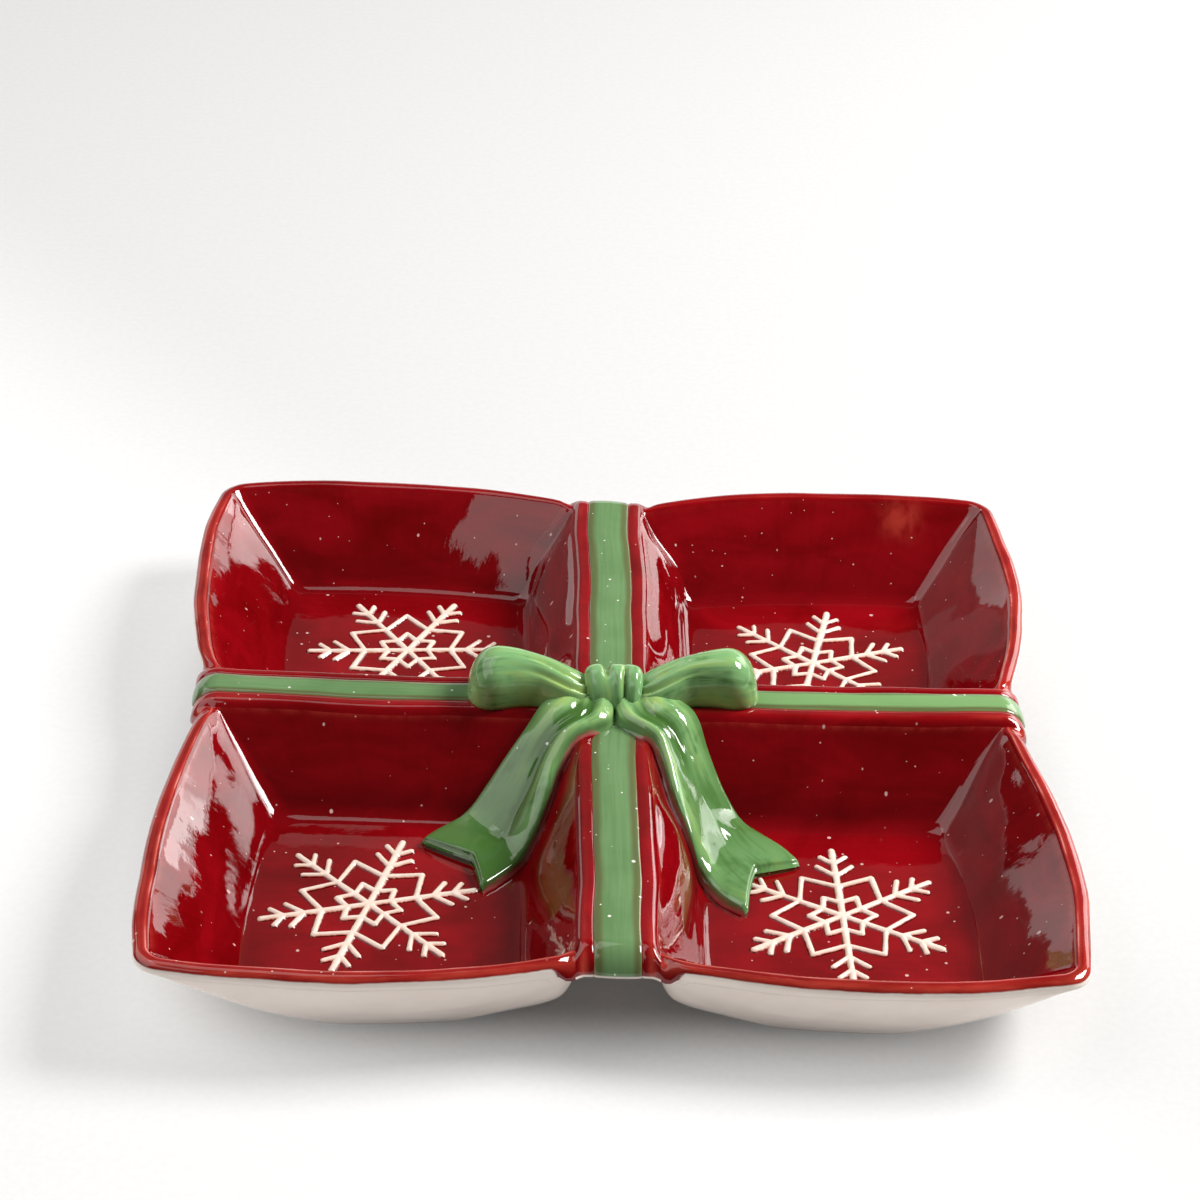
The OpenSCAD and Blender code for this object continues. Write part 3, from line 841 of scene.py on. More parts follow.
# Tails: plan points of each edge, from under the bow to the tip, as ways out and to the front
TAIL_OUTER = {
    "left": np.array([(18.5, 2.0), (22.3, 7.2), (26.0, 12.6), (29.8, 16.4), (36.8, 21.6), (44.2, 26.6),
                      (50.0, 30.6), (57.0, 36.6), (63.3, 43.6)]),
    "right": np.array([(18.5, 2.0), (23.0, 8.4), (28.0, 13.6), (32.3, 19.0), (37.2, 24.4), (42.6, 29.0),
                       (49.6, 35.6), (57.2, 43.4), (62.6, 51.8)]),
}
TAIL_INNER = {
    "left": np.array([(0.4, 2.0), (0.3, 9.0), (1.6, 15.6), (7.4, 20.6), (13.2, 24.6), (17.4, 30.0),
                      (20.2, 38.4), (23.6, 46.6), (27.2, 51.8), (32.4, 58.2), (38.4, 65.2), (43.0, 69.4)]),
    "right": np.array([(0.4, 2.0), (0.3, 9.0), (2.4, 15.6), (8.6, 20.4), (13.8, 24.4), (16.6, 29.8),
                       (18.8, 38.2), (21.8, 48.0), (25.6, 56.6), (30.0, 64.0), (36.0, 72.6), (43.8, 79.4)]),
}
# Notch: place across and depth, and how far the corners beside it are shaved
TAIL_NOTCH = {"left": (-0.20, 6.0), "right": (0.06, 8.6)}
TAIL_SHAVE, SHAVE_SPAN = 0.012, (0.86, 0.14)
TAIL_T = 3.6
TAIL_CROWN = 1.3
TAIL_LEAN, TAIL_LEAST = 0.45, 0.6
LIFT_ROUNDS, TOP_ROUNDS = 30, 10
TAIL_SINK = 0.5
TAIL_SIDE, TAIL_EDGE_POWER = 0.5, 18
TAIL_TIP, TAIL_END_SHARE = 0.4, 0.022
# Skirt down from an edge: way out and share of the height, and how far it and the underside sink
TAIL_SKIRT = ((0.55, 0.34), (1.5, 0.0))
SKIRT_SINK, UNDER_SINK = 0.3, 0.4
# Folds: place and width across, height, and the share of the length where it has faded
TAIL_FOLDS = {
    "left": ((0.42, 0.26, 2.0, 0.42), (0.02, 0.13, -1.5, 0.50), (-0.30, 0.13, -2.0, 0.92),
             (-0.66, 0.22, 1.7, 0.80)),
    "right": ((0.34, 0.30, 2.2, 0.50), (-0.18, 0.14, -1.4, 0.45), (-0.55, 0.16, -1.1, 0.40),
              (-0.74, 0.20, 1.6, 0.86)),
}
FOLD_FADE = 0.8
# Folds are softer beside the knot, where the tail rises to it
TAIL_SOFT, TAIL_SOFT_END = 0.45, 0.22
TAIL_RISE, TAIL_RISE_END = 1.3, 0.20
# Marks of a tail: deep green at its start and its end, darker in its valleys as painted shade, pale folds,
# and bare edges from the top to the skirt
TAIL_DEEP, TAIL_DEEP_SPAN = {"left": (0.66, 1.10), "right": (0.72, 0.50)}, (0.68, 0.2)
TAIL_PALE = 0.6
TAIL_BARE, TAIL_BARE_SPAN, SKIRT_BARE = 0.55, (0.95, 0.05), (0.85, 1.2)
TAIL_BARE_START = (0.16, 0.14)
TAIL_ROWS, TAIL_COLS = 110, 56
TAIL_STROKE_HALF = 12.0
WALL_SLOPE = (SHOULDER - FLOOR_Z) / WALL_RUN
STRAP_GAP = 0.2


def strap_distance(plan):
    """Distance from the nearer strap's centre line, rounded in the corner of a well."""
    x, y = plan[..., 0], plan[..., 1]
    m, d, r = (x + y) / 2, np.abs(x - y) / 2, WELL_CORNER_R
    return np.where(d < r / 2, m - r + np.sqrt(np.maximum(r * r / 2 - d * d, 0)), m - d)


def support(e):
    """Height of the strap, wall and floor under the tails, e from the strap's centre line."""
    strap = STRAP_TOP + np.where(e < CREST_IN, STRAP_GAP, strap_profile(np.clip(e, CREST_IN, STRAP_HALF)))
    wall = np.maximum(FLOOR_Z, SHOULDER - np.maximum(0, e - STRAP_HALF) * WALL_SLOPE)
    return np.where(e <= STRAP_HALF, strap, wall)


def tail_edge(points, t):
    """Edge of a tail in plan, t by the share of its length."""
    way = lengths(points)
    return through(way / way[-1], points, t)


def tail_plan(hand, t, v):
    """Plan points of a tail, and the unit way across it to its outer edge."""
    place, depth = TAIL_NOTCH[hand]
    tent = 1 - np.abs(v - place) / np.where(v > place, 1 - place, 1 + place)
    shave = TAIL_SHAVE * ramp(np.abs(v), *SHAVE_SPAN)
    full = lengths(TAIL_OUTER[hand])[-1]
    stop = t * (1 - (depth / full * tent + shave) * ease(t))
    inner, outer = tail_edge(TAIL_INNER[hand], stop), tail_edge(TAIL_OUTER[hand], stop)
    across = outer - inner
    across = across / np.linalg.norm(across, axis=-1, keepdims=True)
    return mix(inner, outer, (1 + v[..., None]) / 2), across


def tail_folds(hand, t, v):
    """Height of the folds, over the share t of the length and the way v across."""
    folds = sum(height * hill(v, place, width) * np.clip(1 - t / gone, 0, 1) ** FOLD_FADE
                for place, width, height, gone in TAIL_FOLDS[hand])
    rise = TAIL_RISE * (1 - ease(t / TAIL_RISE_END))
    return folds * mix(TAIL_SOFT, 1, ease(t / TAIL_SOFT_END)) + rise


def tail_height(plan, t, v, folds):
    """Top of a tail over its plan, and the height that its underside sinks to."""
    e = strap_distance(plan)
    below = support(e)
    edges = support(e - TAIL_T * TAIL_LEAN)
    lift = smooth_rows(mix(edges[:, :1], edges[:, -1:], (1 + v) / 2), LIFT_ROUNDS)
    thick = TAIL_T + TAIL_CROWN * (1 - v ** 2)
    top = smooth_rows(np.maximum(lift + thick + folds, below + TAIL_LEAST * thick), TOP_ROUNDS)
    low = below - TAIL_SINK
    tip = np.sqrt(1 - np.clip((t - 1 + TAIL_END_SHARE) / TAIL_END_SHARE, 0, 1) ** 2)
    rim = mix(TAIL_SIDE, 1, (1 - np.abs(v) ** TAIL_EDGE_POWER) ** 0.5)
    return low + (top - low) * rim * mix(TAIL_TIP, 1, tip), low


def tail_skirt(edge, across, top):
    """Columns from an edge of a tail, out and down to what it lies on."""
    columns = []
    for gap, share in TAIL_SKIRT:
        spot = edge + gap * across
        base = support(strap_distance(spot)) - SKIRT_SINK
        columns.append(stack(spot[:, 0], spot[:, 1], mix(base, top, share)))
    return columns


def over_skirts(field):
    """A field with its edge columns repeated over the skirts."""
    return np.pad(field, ((0, 0), (len(TAIL_SKIRT), len(TAIL_SKIRT))), "edge")


def tail_points(hand, t, v, folds):
    """Upper side of a tail with its skirts, and its underside in the opposite order."""
    plan, across = tail_plan(hand, t, v)
    top, low = tail_height(plan, t, v, folds)
    columns = [stack(plan[:, k, 0], plan[:, k, 1], top[:, k]) for k in range(TAIL_COLS + 1)]
    inner = tail_skirt(plan[:, 0], -across[:, 0], top[:, 0])
    outer = tail_skirt(plan[:, -1], across[:, -1], top[:, -1])
    upper = np.stack(inner[::-1] + columns + outer, 1) * np.array([SIDES[hand], -1, 1])
    lower = upper[:, ::-1] - np.array([0, 0, SKIRT_SINK])
    lower[..., 2] = np.minimum(lower[..., 2], over_skirts(low)[:, ::-1] - UNDER_SINK)
    return upper, lower


def tail_coat(hand, t, v, folds):
    """Bare edges, pale folds and deep green of a tail's upper side, darker in the valleys as painted shade.
    """
    deep = mix(*TAIL_DEEP[hand], ramp(t, *TAIL_DEEP_SPAN))
    bare = np.concatenate([SKIRT_BARE[::-1], TAIL_BARE * ramp(np.abs(v[0]), *TAIL_BARE_SPAN), SKIRT_BARE])
    edge = bare[None, :] * ramp(t[:, :1], *TAIL_BARE_START)
    # Deep green is darker in the valleys: painted shade
    fold, pool_and_shade = (over_skirts(np.clip(field, 0, 1)) for field in (folds * TAIL_PALE, deep - folds))
    return stack(edge, fold, pool_and_shade)


def make_tail(hand, material):
    """Swallow-tailed ribbon that falls over the corner of a front well onto its floor."""
    t, v = np.broadcast_arrays(shares(TAIL_ROWS)[:, None], sine_steps(TAIL_COLS)[None, :])
    folds = tail_folds(hand, t, v)
    upper, lower = tail_points(hand, t, v, folds)
    upper_coat = tail_coat(hand, t, v, folds)
    lower_coat = np.broadcast_to(np.array([1.0, 0, 0]), upper_coat.shape)
    run = lengths_down(upper)[TAIL_COLS // 2]
    wide = over_skirts(v) * TAIL_STROKE_HALF
    stroke = stack(run[:, None] + TAIL_STROKE * SIDES[hand], np.concatenate([wide, wide[:, ::-1]], 1), 2.0)
    work = Patchwork()
    work.grid(np.concatenate([upper, lower], 1), None, True, stroke=stroke * MM,
              coat=np.concatenate([upper_coat, lower_coat], 1))
    for k, order in ((0, 1), (-1, -1)):
        halves = np.stack([upper[k], lower[k, ::-1]])[::order]
        work.grid(halves, stroke=np.zeros(3), coat=upper_coat[k])
    make_bow_piece(f"bow_tail_{hand}", work, material)


# Snowflakes: turn in degrees, and shift on the floor
FLAKE_TURNS = {"front_left": 14, "front_right": 32, "back_left": 3, "back_right": 18}
FLAKE_SHIFTS = {"front_left": (-2.6, -1.0), "back_right": (0.6, 0.6)}
FLAKE_ARMS = 6
FLAKE_HALF = 1.12
TWIG_HALF = 0.92
FLAKE_POOL = 1.42
POOL_RISE = 0.05
FLAKE_H = 0.90
FLAKE_CELL = 0.36
FLAKE_SINK = 0.12
DOME_POWER, DOME_ROUND = 2.2, 0.55
# Twigs: place along the arm and length. Peaks between the arms: place along the arm and reach
TWIGS = ((0.60, 0.22), (0.79, 0.16))
TWIG_TURN = 48
PEAKS = ((0.44, 0.66), (0.20, 0.31))
LINE_WOBBLE = ((0.10, 9.0, 0.3), (0.07, 4.3, 1.1))
CELL_CORNERS = ((0, 0), (1, 0), (0, 1), (1, 1))
RIM_ROUNDS, RIM_STEP, RIM_SLOPE = 4, 0.8, 0.3


def polar(r, degrees):
    return np.array([r * math.cos(math.radians(degrees)), r * math.sin(math.radians(degrees))])


def flake_lines(radius, turn):
    """Line pieces of a snowflake: arms, their twigs, and the peaks between them."""
    lines = []
    tip = radius - FLAKE_HALF
    for arm in range(FLAKE_ARMS):
        base = turn + 360 / FLAKE_ARMS * arm
        lines.append((polar(0, base), polar(tip, base), FLAKE_HALF))
        for way in (-1, 1):
            for place, size in TWIGS:
                foot = polar(tip * place, base)
                lines.append((foot, foot + polar(tip * size, base + way * TWIG_TURN), TWIG_HALF))
            for place, reach in PEAKS:
                peak = polar(tip * reach, base + way * 180 / FLAKE_ARMS)
                lines.append((polar(tip * place, base), peak, TWIG_HALF))
    return lines


def line_share(points, lines, wide):
    """Distance from the nearest line, as a share of its half width where wide is 1."""
    best = np.full(points.shape[:-1], np.inf)
    for p, q, half in lines:
        d = q - p
        t = np.clip(((points - p) @ d) / (d @ d), 0, 1)
        best = np.minimum(best, np.linalg.norm(points - p - t[..., None] * d, axis=-1) / half)
    return best / wide


def flake_cells(inside):
    """Cells whose four points are inside, and the points on the rim of those cells."""
    size = len(inside) - 1
    views = [(slice(a, size + a), slice(b, size + b)) for a, b in CELL_CORNERS]
    kept = np.logical_and.reduce([inside[view] for view in views])
    used, whole = np.zeros_like(inside), np.ones_like(inside)
    for view in views:
        used[view] |= kept
        around = np.ones_like(inside)
        around[view] = kept
        whole &= around
    return kept, used & ~whole


def flake_plan(radius, lines):
    """Plan points with the rim drawn onto the edge of the glaze, cells to keep, and line shares."""
    count = int(2 * (radius + 2 * FLAKE_HALF) / FLAKE_CELL)
    ticks = (np.arange(count) - count / 2) * FLAKE_CELL
    plan = stack(ticks[:, None], ticks[None, :])
    x, y = plan[..., 0], plan[..., 1]
    wide = 1 + sum(h * np.sin(x / run + phase) * np.sin(y / run - phase) for h, run, phase in LINE_WOBBLE)
    gap = (line_share(plan, lines, wide) - FLAKE_POOL) * FLAKE_HALF
    kept, rim = flake_cells(gap < 0)
    slope = np.stack(np.gradient(gap, FLAKE_CELL), -1)
    slope /= np.maximum(np.linalg.norm(slope, axis=-1, keepdims=True), RIM_SLOPE)
    for _ in range(RIM_ROUNDS):
        gap = (line_share(plan, lines, wide) - FLAKE_POOL) * FLAKE_HALF
        plan = np.where(rim[..., None], plan - slope * gap[..., None] * RIM_STEP, plan)
    share = np.minimum(line_share(plan, lines, wide), FLAKE_POOL)
    share[rim] = FLAKE_POOL
    return plan, kept, share


def make_flake(quarter, material):
    """Rounded relief lines, meshed on the cells of a grid."""
    low, high = span(f"snowflake_{quarter}")
    middle, half = (low + high) / 2, (high - low) / 2
    turn, shift = FLAKE_TURNS[quarter], FLAKE_SHIFTS.get(quarter, (0, 0))
    arms = np.radians(turn + 360 / FLAKE_ARMS * np.arange(FLAKE_ARMS))
    radius = FLAKE_HALF + (half[0] - FLAKE_HALF) / np.abs(np.cos(arms)).max()
    plan, kept, share = flake_plan(radius, flake_lines(radius, turn))
    dome = (1 - np.minimum(share, 1) ** DOME_POWER) ** DOME_ROUND
    pooled = FLAKE_SINK * np.clip((share - 1) / (FLAKE_POOL - 1), 0, 1) ** 2
    height = FLOOR_Z + POOL_RISE + (FLAKE_H - POOL_RISE) * dome - pooled
    points = np.concatenate([plan + middle[:2] + shift, height[..., None]], -1).reshape(-1, 3)
    index = np.arange(len(points)).reshape(share.shape)
    quads = np.stack([index[:-1, :-1], index[1:, :-1], index[1:, 1:], index[:-1, 1:]], -1)[kept]
    used, faces = np.unique(quads, return_inverse=True)
    coat = stack(share, 0.0, 0.0).reshape(-1, 3)[used]
    work = Patchwork()
    work.take(points[used], faces.reshape(-1, 4), {"coat": coat, "stroke": points[used] * MM})
    name = f"snowflake_{quarter}"
    make(name, work.mesh(name, handmade), material, "cream_glaze", name)


# Materials. Object places and stroke marks are in metres, and coat marks are shares or millimetres
GLAZE_IOR = 1.52
FLECK_LEAST = 0.35


class Glaze:
    """Node tree of one material. Its colour is painted in layers."""

    def __init__(self, name, colour):
        self.material = bpy.data.materials.new(name)
        self.material.use_nodes = True
        self.tree = self.material.node_tree
        self.tree.nodes.clear()
        self.place = self.add("TexCoord").outputs["Object"]
        self.colour = colour

    def add(self, kind, inputs=None, **settings):
        """A node with its settings, and its inputs by name or number: a socket is linked, a value is set."""
        node = self.tree.nodes.new("ShaderNode" + kind)
        for key, value in settings.items():
            setattr(node, key, value)
        for key, value in (inputs or {}).items():
            if isinstance(value, bpy.types.NodeSocket):
                self.tree.links.new(value, node.inputs[key])
            else:
                node.inputs[key].default_value = value
        return node

    def mark(self, name):
        return self.add("Attribute", attribute_name=name).outputs["Vector"]

    def parts(self, vector):
        return self.add("SeparateXYZ", {0: vector}).outputs

    def math(self, operation, *values):
        return self.add("Math", dict(enumerate(values)), operation=operation).outputs[0]

    def times(self, first, second):
        return self.math("MULTIPLY", first, second)

    def vector(self, operation, other):
        return self.add("VectorMath", {0: self.place, 1: other}, operation=operation).outputs["Value"]

    def between(self, value, low, high, out_low=0.0, out_high=1.0):
        inputs = {0: value, 1: low, 2: high, 3: out_low, 4: out_high}
        return self.add("MapRange", inputs, interpolation_type="SMOOTHSTEP").outputs[0]

    def blend(self, share, *colours):
        """Colour between two, each a socket or three numbers."""
        first, second = (c if isinstance(c, bpy.types.NodeSocket) else (*c, 1.0) for c in colours)
        inputs = {0: share, 6: first, 7: second}
        return self.add("Mix", inputs, data_type="RGBA", clamp_factor=True).outputs[2]

    def paint(self, tint, value, *span):
        """Lays a tint over the colour, by a share or by a range of a value."""
        share = self.between(value, *span) if span else value
        self.colour = self.blend(share, self.colour, tint)

    def mapped(self, **inputs):
        return self.add("Mapping", {"Vector": self.place, **inputs}).outputs[0]

    def noise(self, vector, scale, detail=3.0, rough=0.55, distortion=0.0):
        """Noise by one scale, or by a scale for each axis."""
        if isinstance(scale, tuple):
            vector, scale = self.mapped(Vector=vector, Scale=scale), 1.0
        inputs = {"Vector": vector, "Scale": scale, "Detail": detail, "Roughness": rough}
        return self.add("TexNoise", {**inputs, "Distortion": distortion}).outputs["Fac"]

    def brushed(self, tint, brush, clouds, share, span):
        """Paints a tint by clouds and brush strokes, and gives both noises."""
        strokes = self.noise(self.mark("stroke"), *brush)
        patches = self.noise(self.place, *clouds)
        both = self.math("ADD", self.times(patches, share), self.times(strokes, 1 - share))
        self.paint(tint, both, *span)
        return strokes, patches

    def speckle(self, tint, *layers):
        """Specks in a share of the cells, each with its own size, drawn out upwards where tall is below 1."""
        for scale, share, size, tall in layers:
            place = self.mapped(Scale=(1.0, 1.0, tall))
            cell = self.add("TexVoronoi", {"Vector": place, "Scale": scale, "Randomness": 1.0})
            parts = self.add("SeparateColor", {0: cell.outputs["Color"]}).outputs
            least = size * FLECK_LEAST
            radius = self.add("MapRange", {0: parts[1], 1: 0.0, 2: 1.0, 3: least, 4: size}).outputs[0]
            inside = self.between(self.math("SUBTRACT", radius, cell.outputs["Distance"]), 0.0, least)
            self.paint(tint, self.times(inside, self.math("GREATER_THAN", parts[0], 1.0 - share)))

    def finish(self, value, gloss, *bumps):
        """Shader with a gloss by a range of a value, and with bumps by height and depth, one over another."""
        inputs = {"Base Color": self.colour, "Roughness": self.between(value, *gloss), "IOR": GLAZE_IOR}
        below = {}
        for height, depth in bumps:
            node = self.add("Bump", {"Height": height, "Distance": depth, "Strength": 1.0, **below})
            below = {"Normal": node.outputs[0]}
        return self.surface({**inputs, **below})

    def surface(self, inputs):
        shader = self.add("BsdfPrincipled", inputs)
        self.add("OutputMaterial", {"Surface": shader.outputs[0]})
        return self.material


# A noise is its scale, detail, roughness and distortion. A range is from, to, and what these become.
# Flecks are their scale, share, size and squeeze in height
DEEP_RED = (0.140, 0.0004, 0.0010)
FULL_RED = (0.275, 0.0022, 0.0058)
THIN_RED = (0.50, 0.052, 0.034)
PALE_RED = (0.74, 0.36, 0.32)
# Dark red of pooled glaze and of painted shade
POOLED_AND_SHADED_RED = (0.085, 0.0008, 0.002)
RED_BRUSH = ((28.0, 620.0, 1.0), 4.0, 0.6, 0.4)
RED_CLOUDS, RED_CLOUD_SHARE = ((27.0, 30.0, 75.0), 4.0, 0.6, 0.7), 0.86
RED_RANGE = (0.27, 0.73)
POOL_AND_SHADE_SHARE = 0.45
WORN_NOISE, WORN_RANGE = ((60.0, 260.0, 1.0), 3.0), (0.3, 0.7, 0.45, 1.0)
THIN_RANGE, PALE_RANGE = (0.0, 0.8, 0.0, 0.9), (0.62, 1.0, 0.0, 0.7)
RED_FLECKS, RED_FLECK = ((270.0, 0.45, 0.115, 1.0), (150.0, 0.62, 0.120, 0.30)), (0.62, 0.40, 0.37)
# Washed patch on the back wall of the back-right well
WASH_SPOT, WASH_RANGE = (0.110, 0.134, 0.0335), (0.0, 0.014, 0.85, 0.0)
WASH_NOISE, WASH_STREAKS = ((120.0, 60.0, 60.0), 3.0), (0.36, 0.60)
# Cream outside: the ragged edge of the red, and the mould line under the lip
CREAM = (0.920, 0.810, 0.735)
DULL_CREAM = (0.87, 0.755, 0.675)
CREAM_NOISE, CREAM_RANGE = (55.0, 3.0), (0.3, 0.7)
RAGGED_NOISE, RAGGED_REACH, RAGGED_RANGE = ((70.0, 20.0, 1.0), 3.0), 1.2, (-0.25, 0.35)
SEAM = (0.66, 0.57, 0.50)
SEAM_DROP, SEAM_HALF, SEAM_SHARE, SEAM_DEPTH = 4.8, 0.42, 0.16, 0.00012
# Uneven glaze: noise and depth
LUMP_SHIFT = (0.9, 0.77, -0.3)
LUMPS, LUMP_DEPTH = (30.0, 1.0, 0.4), 0.0007
DENTS, DENT_DEPTH = (110.0, 1.0, 0.5), 0.00008
RIPPLE, RIPPLE_DEPTH = (420.0, 2.0, 0.5), 0.000015
RED_BRUSH_DEPTH = 0.000007
RED_GLOSS_NOISE, RED_GLOSS = (60.0, 3.0), (0.2, 0.8, 0.012, 0.035)


def red_glaze():
    """Brushed red, thin on edges and in one washed patch, with a painted highlight line along the lip and
    dark red for pooled glaze and painted shade in creases and over the walls, that ends in cream over the
    lip.
    """
    g = Glaze("red_glaze", DEEP_RED)
    drop, thin, pool_and_shade = g.parts(g.mark("coat"))
    brush, _ = g.brushed(FULL_RED, RED_BRUSH, RED_CLOUDS, RED_CLOUD_SHARE, RED_RANGE)
    # Dark red for pooled glaze and painted shade
    g.paint(POOLED_AND_SHADED_RED, g.times(pool_and_shade, POOL_AND_SHADE_SHARE))
    stroke = g.mark("stroke")
    # Thin glaze on edges, pale where it is strongest; along the lip's inner edge it is a painted highlight
    # line
    bared = g.times(thin, g.between(g.noise(stroke, *WORN_NOISE), *WORN_RANGE))
    g.paint(THIN_RED, bared, *THIN_RANGE)
    g.paint(PALE_RED, bared, *PALE_RANGE)
    streaks = g.between(g.noise(g.place, *WASH_NOISE), *WASH_STREAKS)
    g.paint(THIN_RED, g.times(g.between(g.vector("DISTANCE", WASH_SPOT), *WASH_RANGE), streaks))
    g.speckle(RED_FLECK, *RED_FLECKS)
    ragged = g.times(g.noise(stroke, *RAGGED_NOISE), RAGGED_REACH)
    cream = g.blend(g.between(g.noise(g.place, *CREAM_NOISE), *CREAM_RANGE), DULL_CREAM, CREAM)
    g.paint(cream, g.math("SUBTRACT", drop, ragged), *RAGGED_RANGE)
    seam_way = g.math("ABSOLUTE", g.math("SUBTRACT", drop, SEAM_DROP))
    g.paint(SEAM, seam_way, 0.0, SEAM_HALF, SEAM_SHARE, 0.0)
    return g.finish(g.noise(g.place, *RED_GLOSS_NOISE), RED_GLOSS,
                    (g.noise(g.mapped(Location=LUMP_SHIFT), *LUMPS), LUMP_DEPTH),
                    (g.noise(g.place, *DENTS), DENT_DEPTH),
                    (brush, RED_BRUSH_DEPTH),
                    (g.noise(g.place, *RIPPLE), RIPPLE_DEPTH),
                    (g.between(seam_way, 0.0, SEAM_HALF), SEAM_DEPTH))


RIBBON_GREEN = (0.108, 0.212, 0.080)
RIBBON_PALE = (0.145, 0.262, 0.110)
RIBBON_SHEEN_GREEN = (0.185, 0.345, 0.130)
OLIVE = (0.105, 0.115, 0.042)
BAND_BRUSH, BAND_CLOUDS = ((22.0, 700.0, 1.0), 3.0, 0.6, 0.3), (45.0, 3.0)
BAND_CLOUD_SHARE, BAND_RANGE = 0.5, (0.35, 0.65)
# Olive stripe along each side: how it wanders, where it starts, and where it fades
STRIPE_NOISE, STRIPE_WANDER = ((25.0, 90.0, 1.0), 3.0), (0.3, -0.15)
STRIPE_START, STRIPE_FADE = (0.52, 0.80), (0.84, 1.05, 0.9, 0.45)
BAND_SIDE, BAND_END = (0.97, 1.01), (0.9, 0.3)
BAND_FLECKS, PALE_FLECK = ((230.0, 0.60, 0.14, 1.0), (110.0, 0.45, 0.105, 1.0)), (0.80, 0.80, 0.72)
BAND_LUMPS, GREEN_LUMP_DEPTH, BAND_BRUSH_DEPTH = (60.0, 1.0), 0.0005, 0.00004
BAND_GLOSS = (0.2, 0.8, 0.03, 0.06)


def ribbon_glaze():
    """Green, paler on the right ribbon as a painted sheen, with an olive stripe along each side, red at the
    sides and cream at the end.
    """
    g = Glaze("ribbon_glaze", RIBBON_GREEN)
    side_way, end_way, sheen = g.parts(g.mark("coat"))
    brush, clouds = g.brushed(RIBBON_PALE, BAND_BRUSH, BAND_CLOUDS, BAND_CLOUD_SHARE, BAND_RANGE)
    # Paler green on the right ribbon: a painted sheen
    g.paint(RIBBON_SHEEN_GREEN, sheen)
    wander = g.math("MULTIPLY_ADD", g.noise(g.mark("stroke"), *STRIPE_NOISE), *STRIPE_WANDER)
    wide = g.math("ADD", side_way, wander)
    g.paint(OLIVE, g.times(g.between(wide, *STRIPE_START), g.between(wide, *STRIPE_FADE)))
    g.paint(THIN_RED, side_way, *BAND_SIDE)
    g.speckle(PALE_FLECK, *BAND_FLECKS)
    g.paint(CREAM, end_way, *BAND_END)
    lumps = g.noise(g.place, *BAND_LUMPS)
    return g.finish(clouds, BAND_GLOSS, (lumps, GREEN_LUMP_DEPTH), (brush, BAND_BRUSH_DEPTH))


BOW_GREEN = (0.197, 0.400, 0.162)
BOW_DEEP = (0.058, 0.146, 0.030)
BOW_LIGHT = (0.345, 0.500, 0.140)
BOW_EDGE = (0.55, 0.20, 0.17)
BOW_BRUSH, BOW_CLOUDS = ((34.0, 300.0, 300.0), 4.0, 0.62, 0.7), (70.0, 3.0, 0.6)
BOW_CLOUD_SHARE, BOW_RANGE = 0.7, (0.28, 0.50)
LIGHT_STROKES, DEEP_STROKES = (0.50, 0.68, 0.0, 0.55), (0.46, 0.32, 0.0, 0.45)
FOLD_LIGHT = (0.40, 0.64, 0.05, 0.75)
# Bare edges: how they wander, where they turn red, and the pale line along them, thin glaze with a painted
# highlight
BARE_NOISE, BARE_WANDER = (160.0, 2.0), (0.5, -0.25)
BARE_RED, BARE_PALE_START, BARE_PALE_FADE = (0.45, 0.7), (0.40, 0.60), (0.70, 0.95, 0.6, 0.0)
BOW_FLECKS = (190.0, 0.20, 0.15, 1.0)
BOW_LUMPS, BOW_BRUSH_DEPTH = (70.0, 1.0), 0.00005
BOW_GLOSS = (0.2, 0.8, 0.02, 0.05)


def bow_glaze():
    """Green with brush strokes, light folds with a painted highlight in the loops' gathers, deep hollows and
    undersides partly in painted shade, and red along the bare edges with a pale line that is partly a painted
    highlight.
    """
    g = Glaze("bow_glaze", BOW_DEEP)
    edge, fold, pool_and_shade = g.parts(g.mark("coat"))
    brush, clouds = g.brushed(BOW_GREEN, BOW_BRUSH, BOW_CLOUDS, BOW_CLOUD_SHARE, BOW_RANGE)
    g.paint(BOW_LIGHT, brush, *LIGHT_STROKES)
    g.paint(BOW_DEEP, brush, *DEEP_STROKES)
    # Light on folds: thin glaze, and in the loops' gathers a painted highlight
    g.paint(BOW_LIGHT, g.times(fold, g.between(clouds, *FOLD_LIGHT)))
    # Deep green with painted shade in hollows, by the knot and under the loops
    g.paint(BOW_DEEP, pool_and_shade)
    wander = g.math("MULTIPLY_ADD", g.noise(g.place, *BARE_NOISE), *BARE_WANDER)
    bare = g.math("ADD", edge, wander)
    g.paint(FULL_RED, bare, *BARE_RED)
    # Pale line along the bare edges: thin glaze with a painted highlight
    g.paint(BOW_EDGE, g.times(g.between(bare, *BARE_PALE_START), g.between(bare, *BARE_PALE_FADE)))
    g.speckle(PALE_FLECK, BOW_FLECKS)
    lumps = g.noise(g.place, *BOW_LUMPS)
    return g.finish(clouds, BOW_GLOSS, (lumps, GREEN_LUMP_DEPTH), (brush, BOW_BRUSH_DEPTH))


FLAKE_WHITE = (0.84, 0.70, 0.61)
FLAKE_DULL = (0.80, 0.64, 0.54)
FLAKE_BLUSH = (0.66, 0.25, 0.17)
GRAIN, GRAIN_RANGE, GRAIN_DEPTH = (260.0, 3.0), (0.35, 0.65), 0.00012
FLAKE_WANDER, BLUSH_RANGE, EDGE_RANGE = (0.6, -0.30), (0.72, 1.0), (0.98, 1.14)
FLAKE_GLOSS = (0.2, 0.8, 0.08, 0.16)


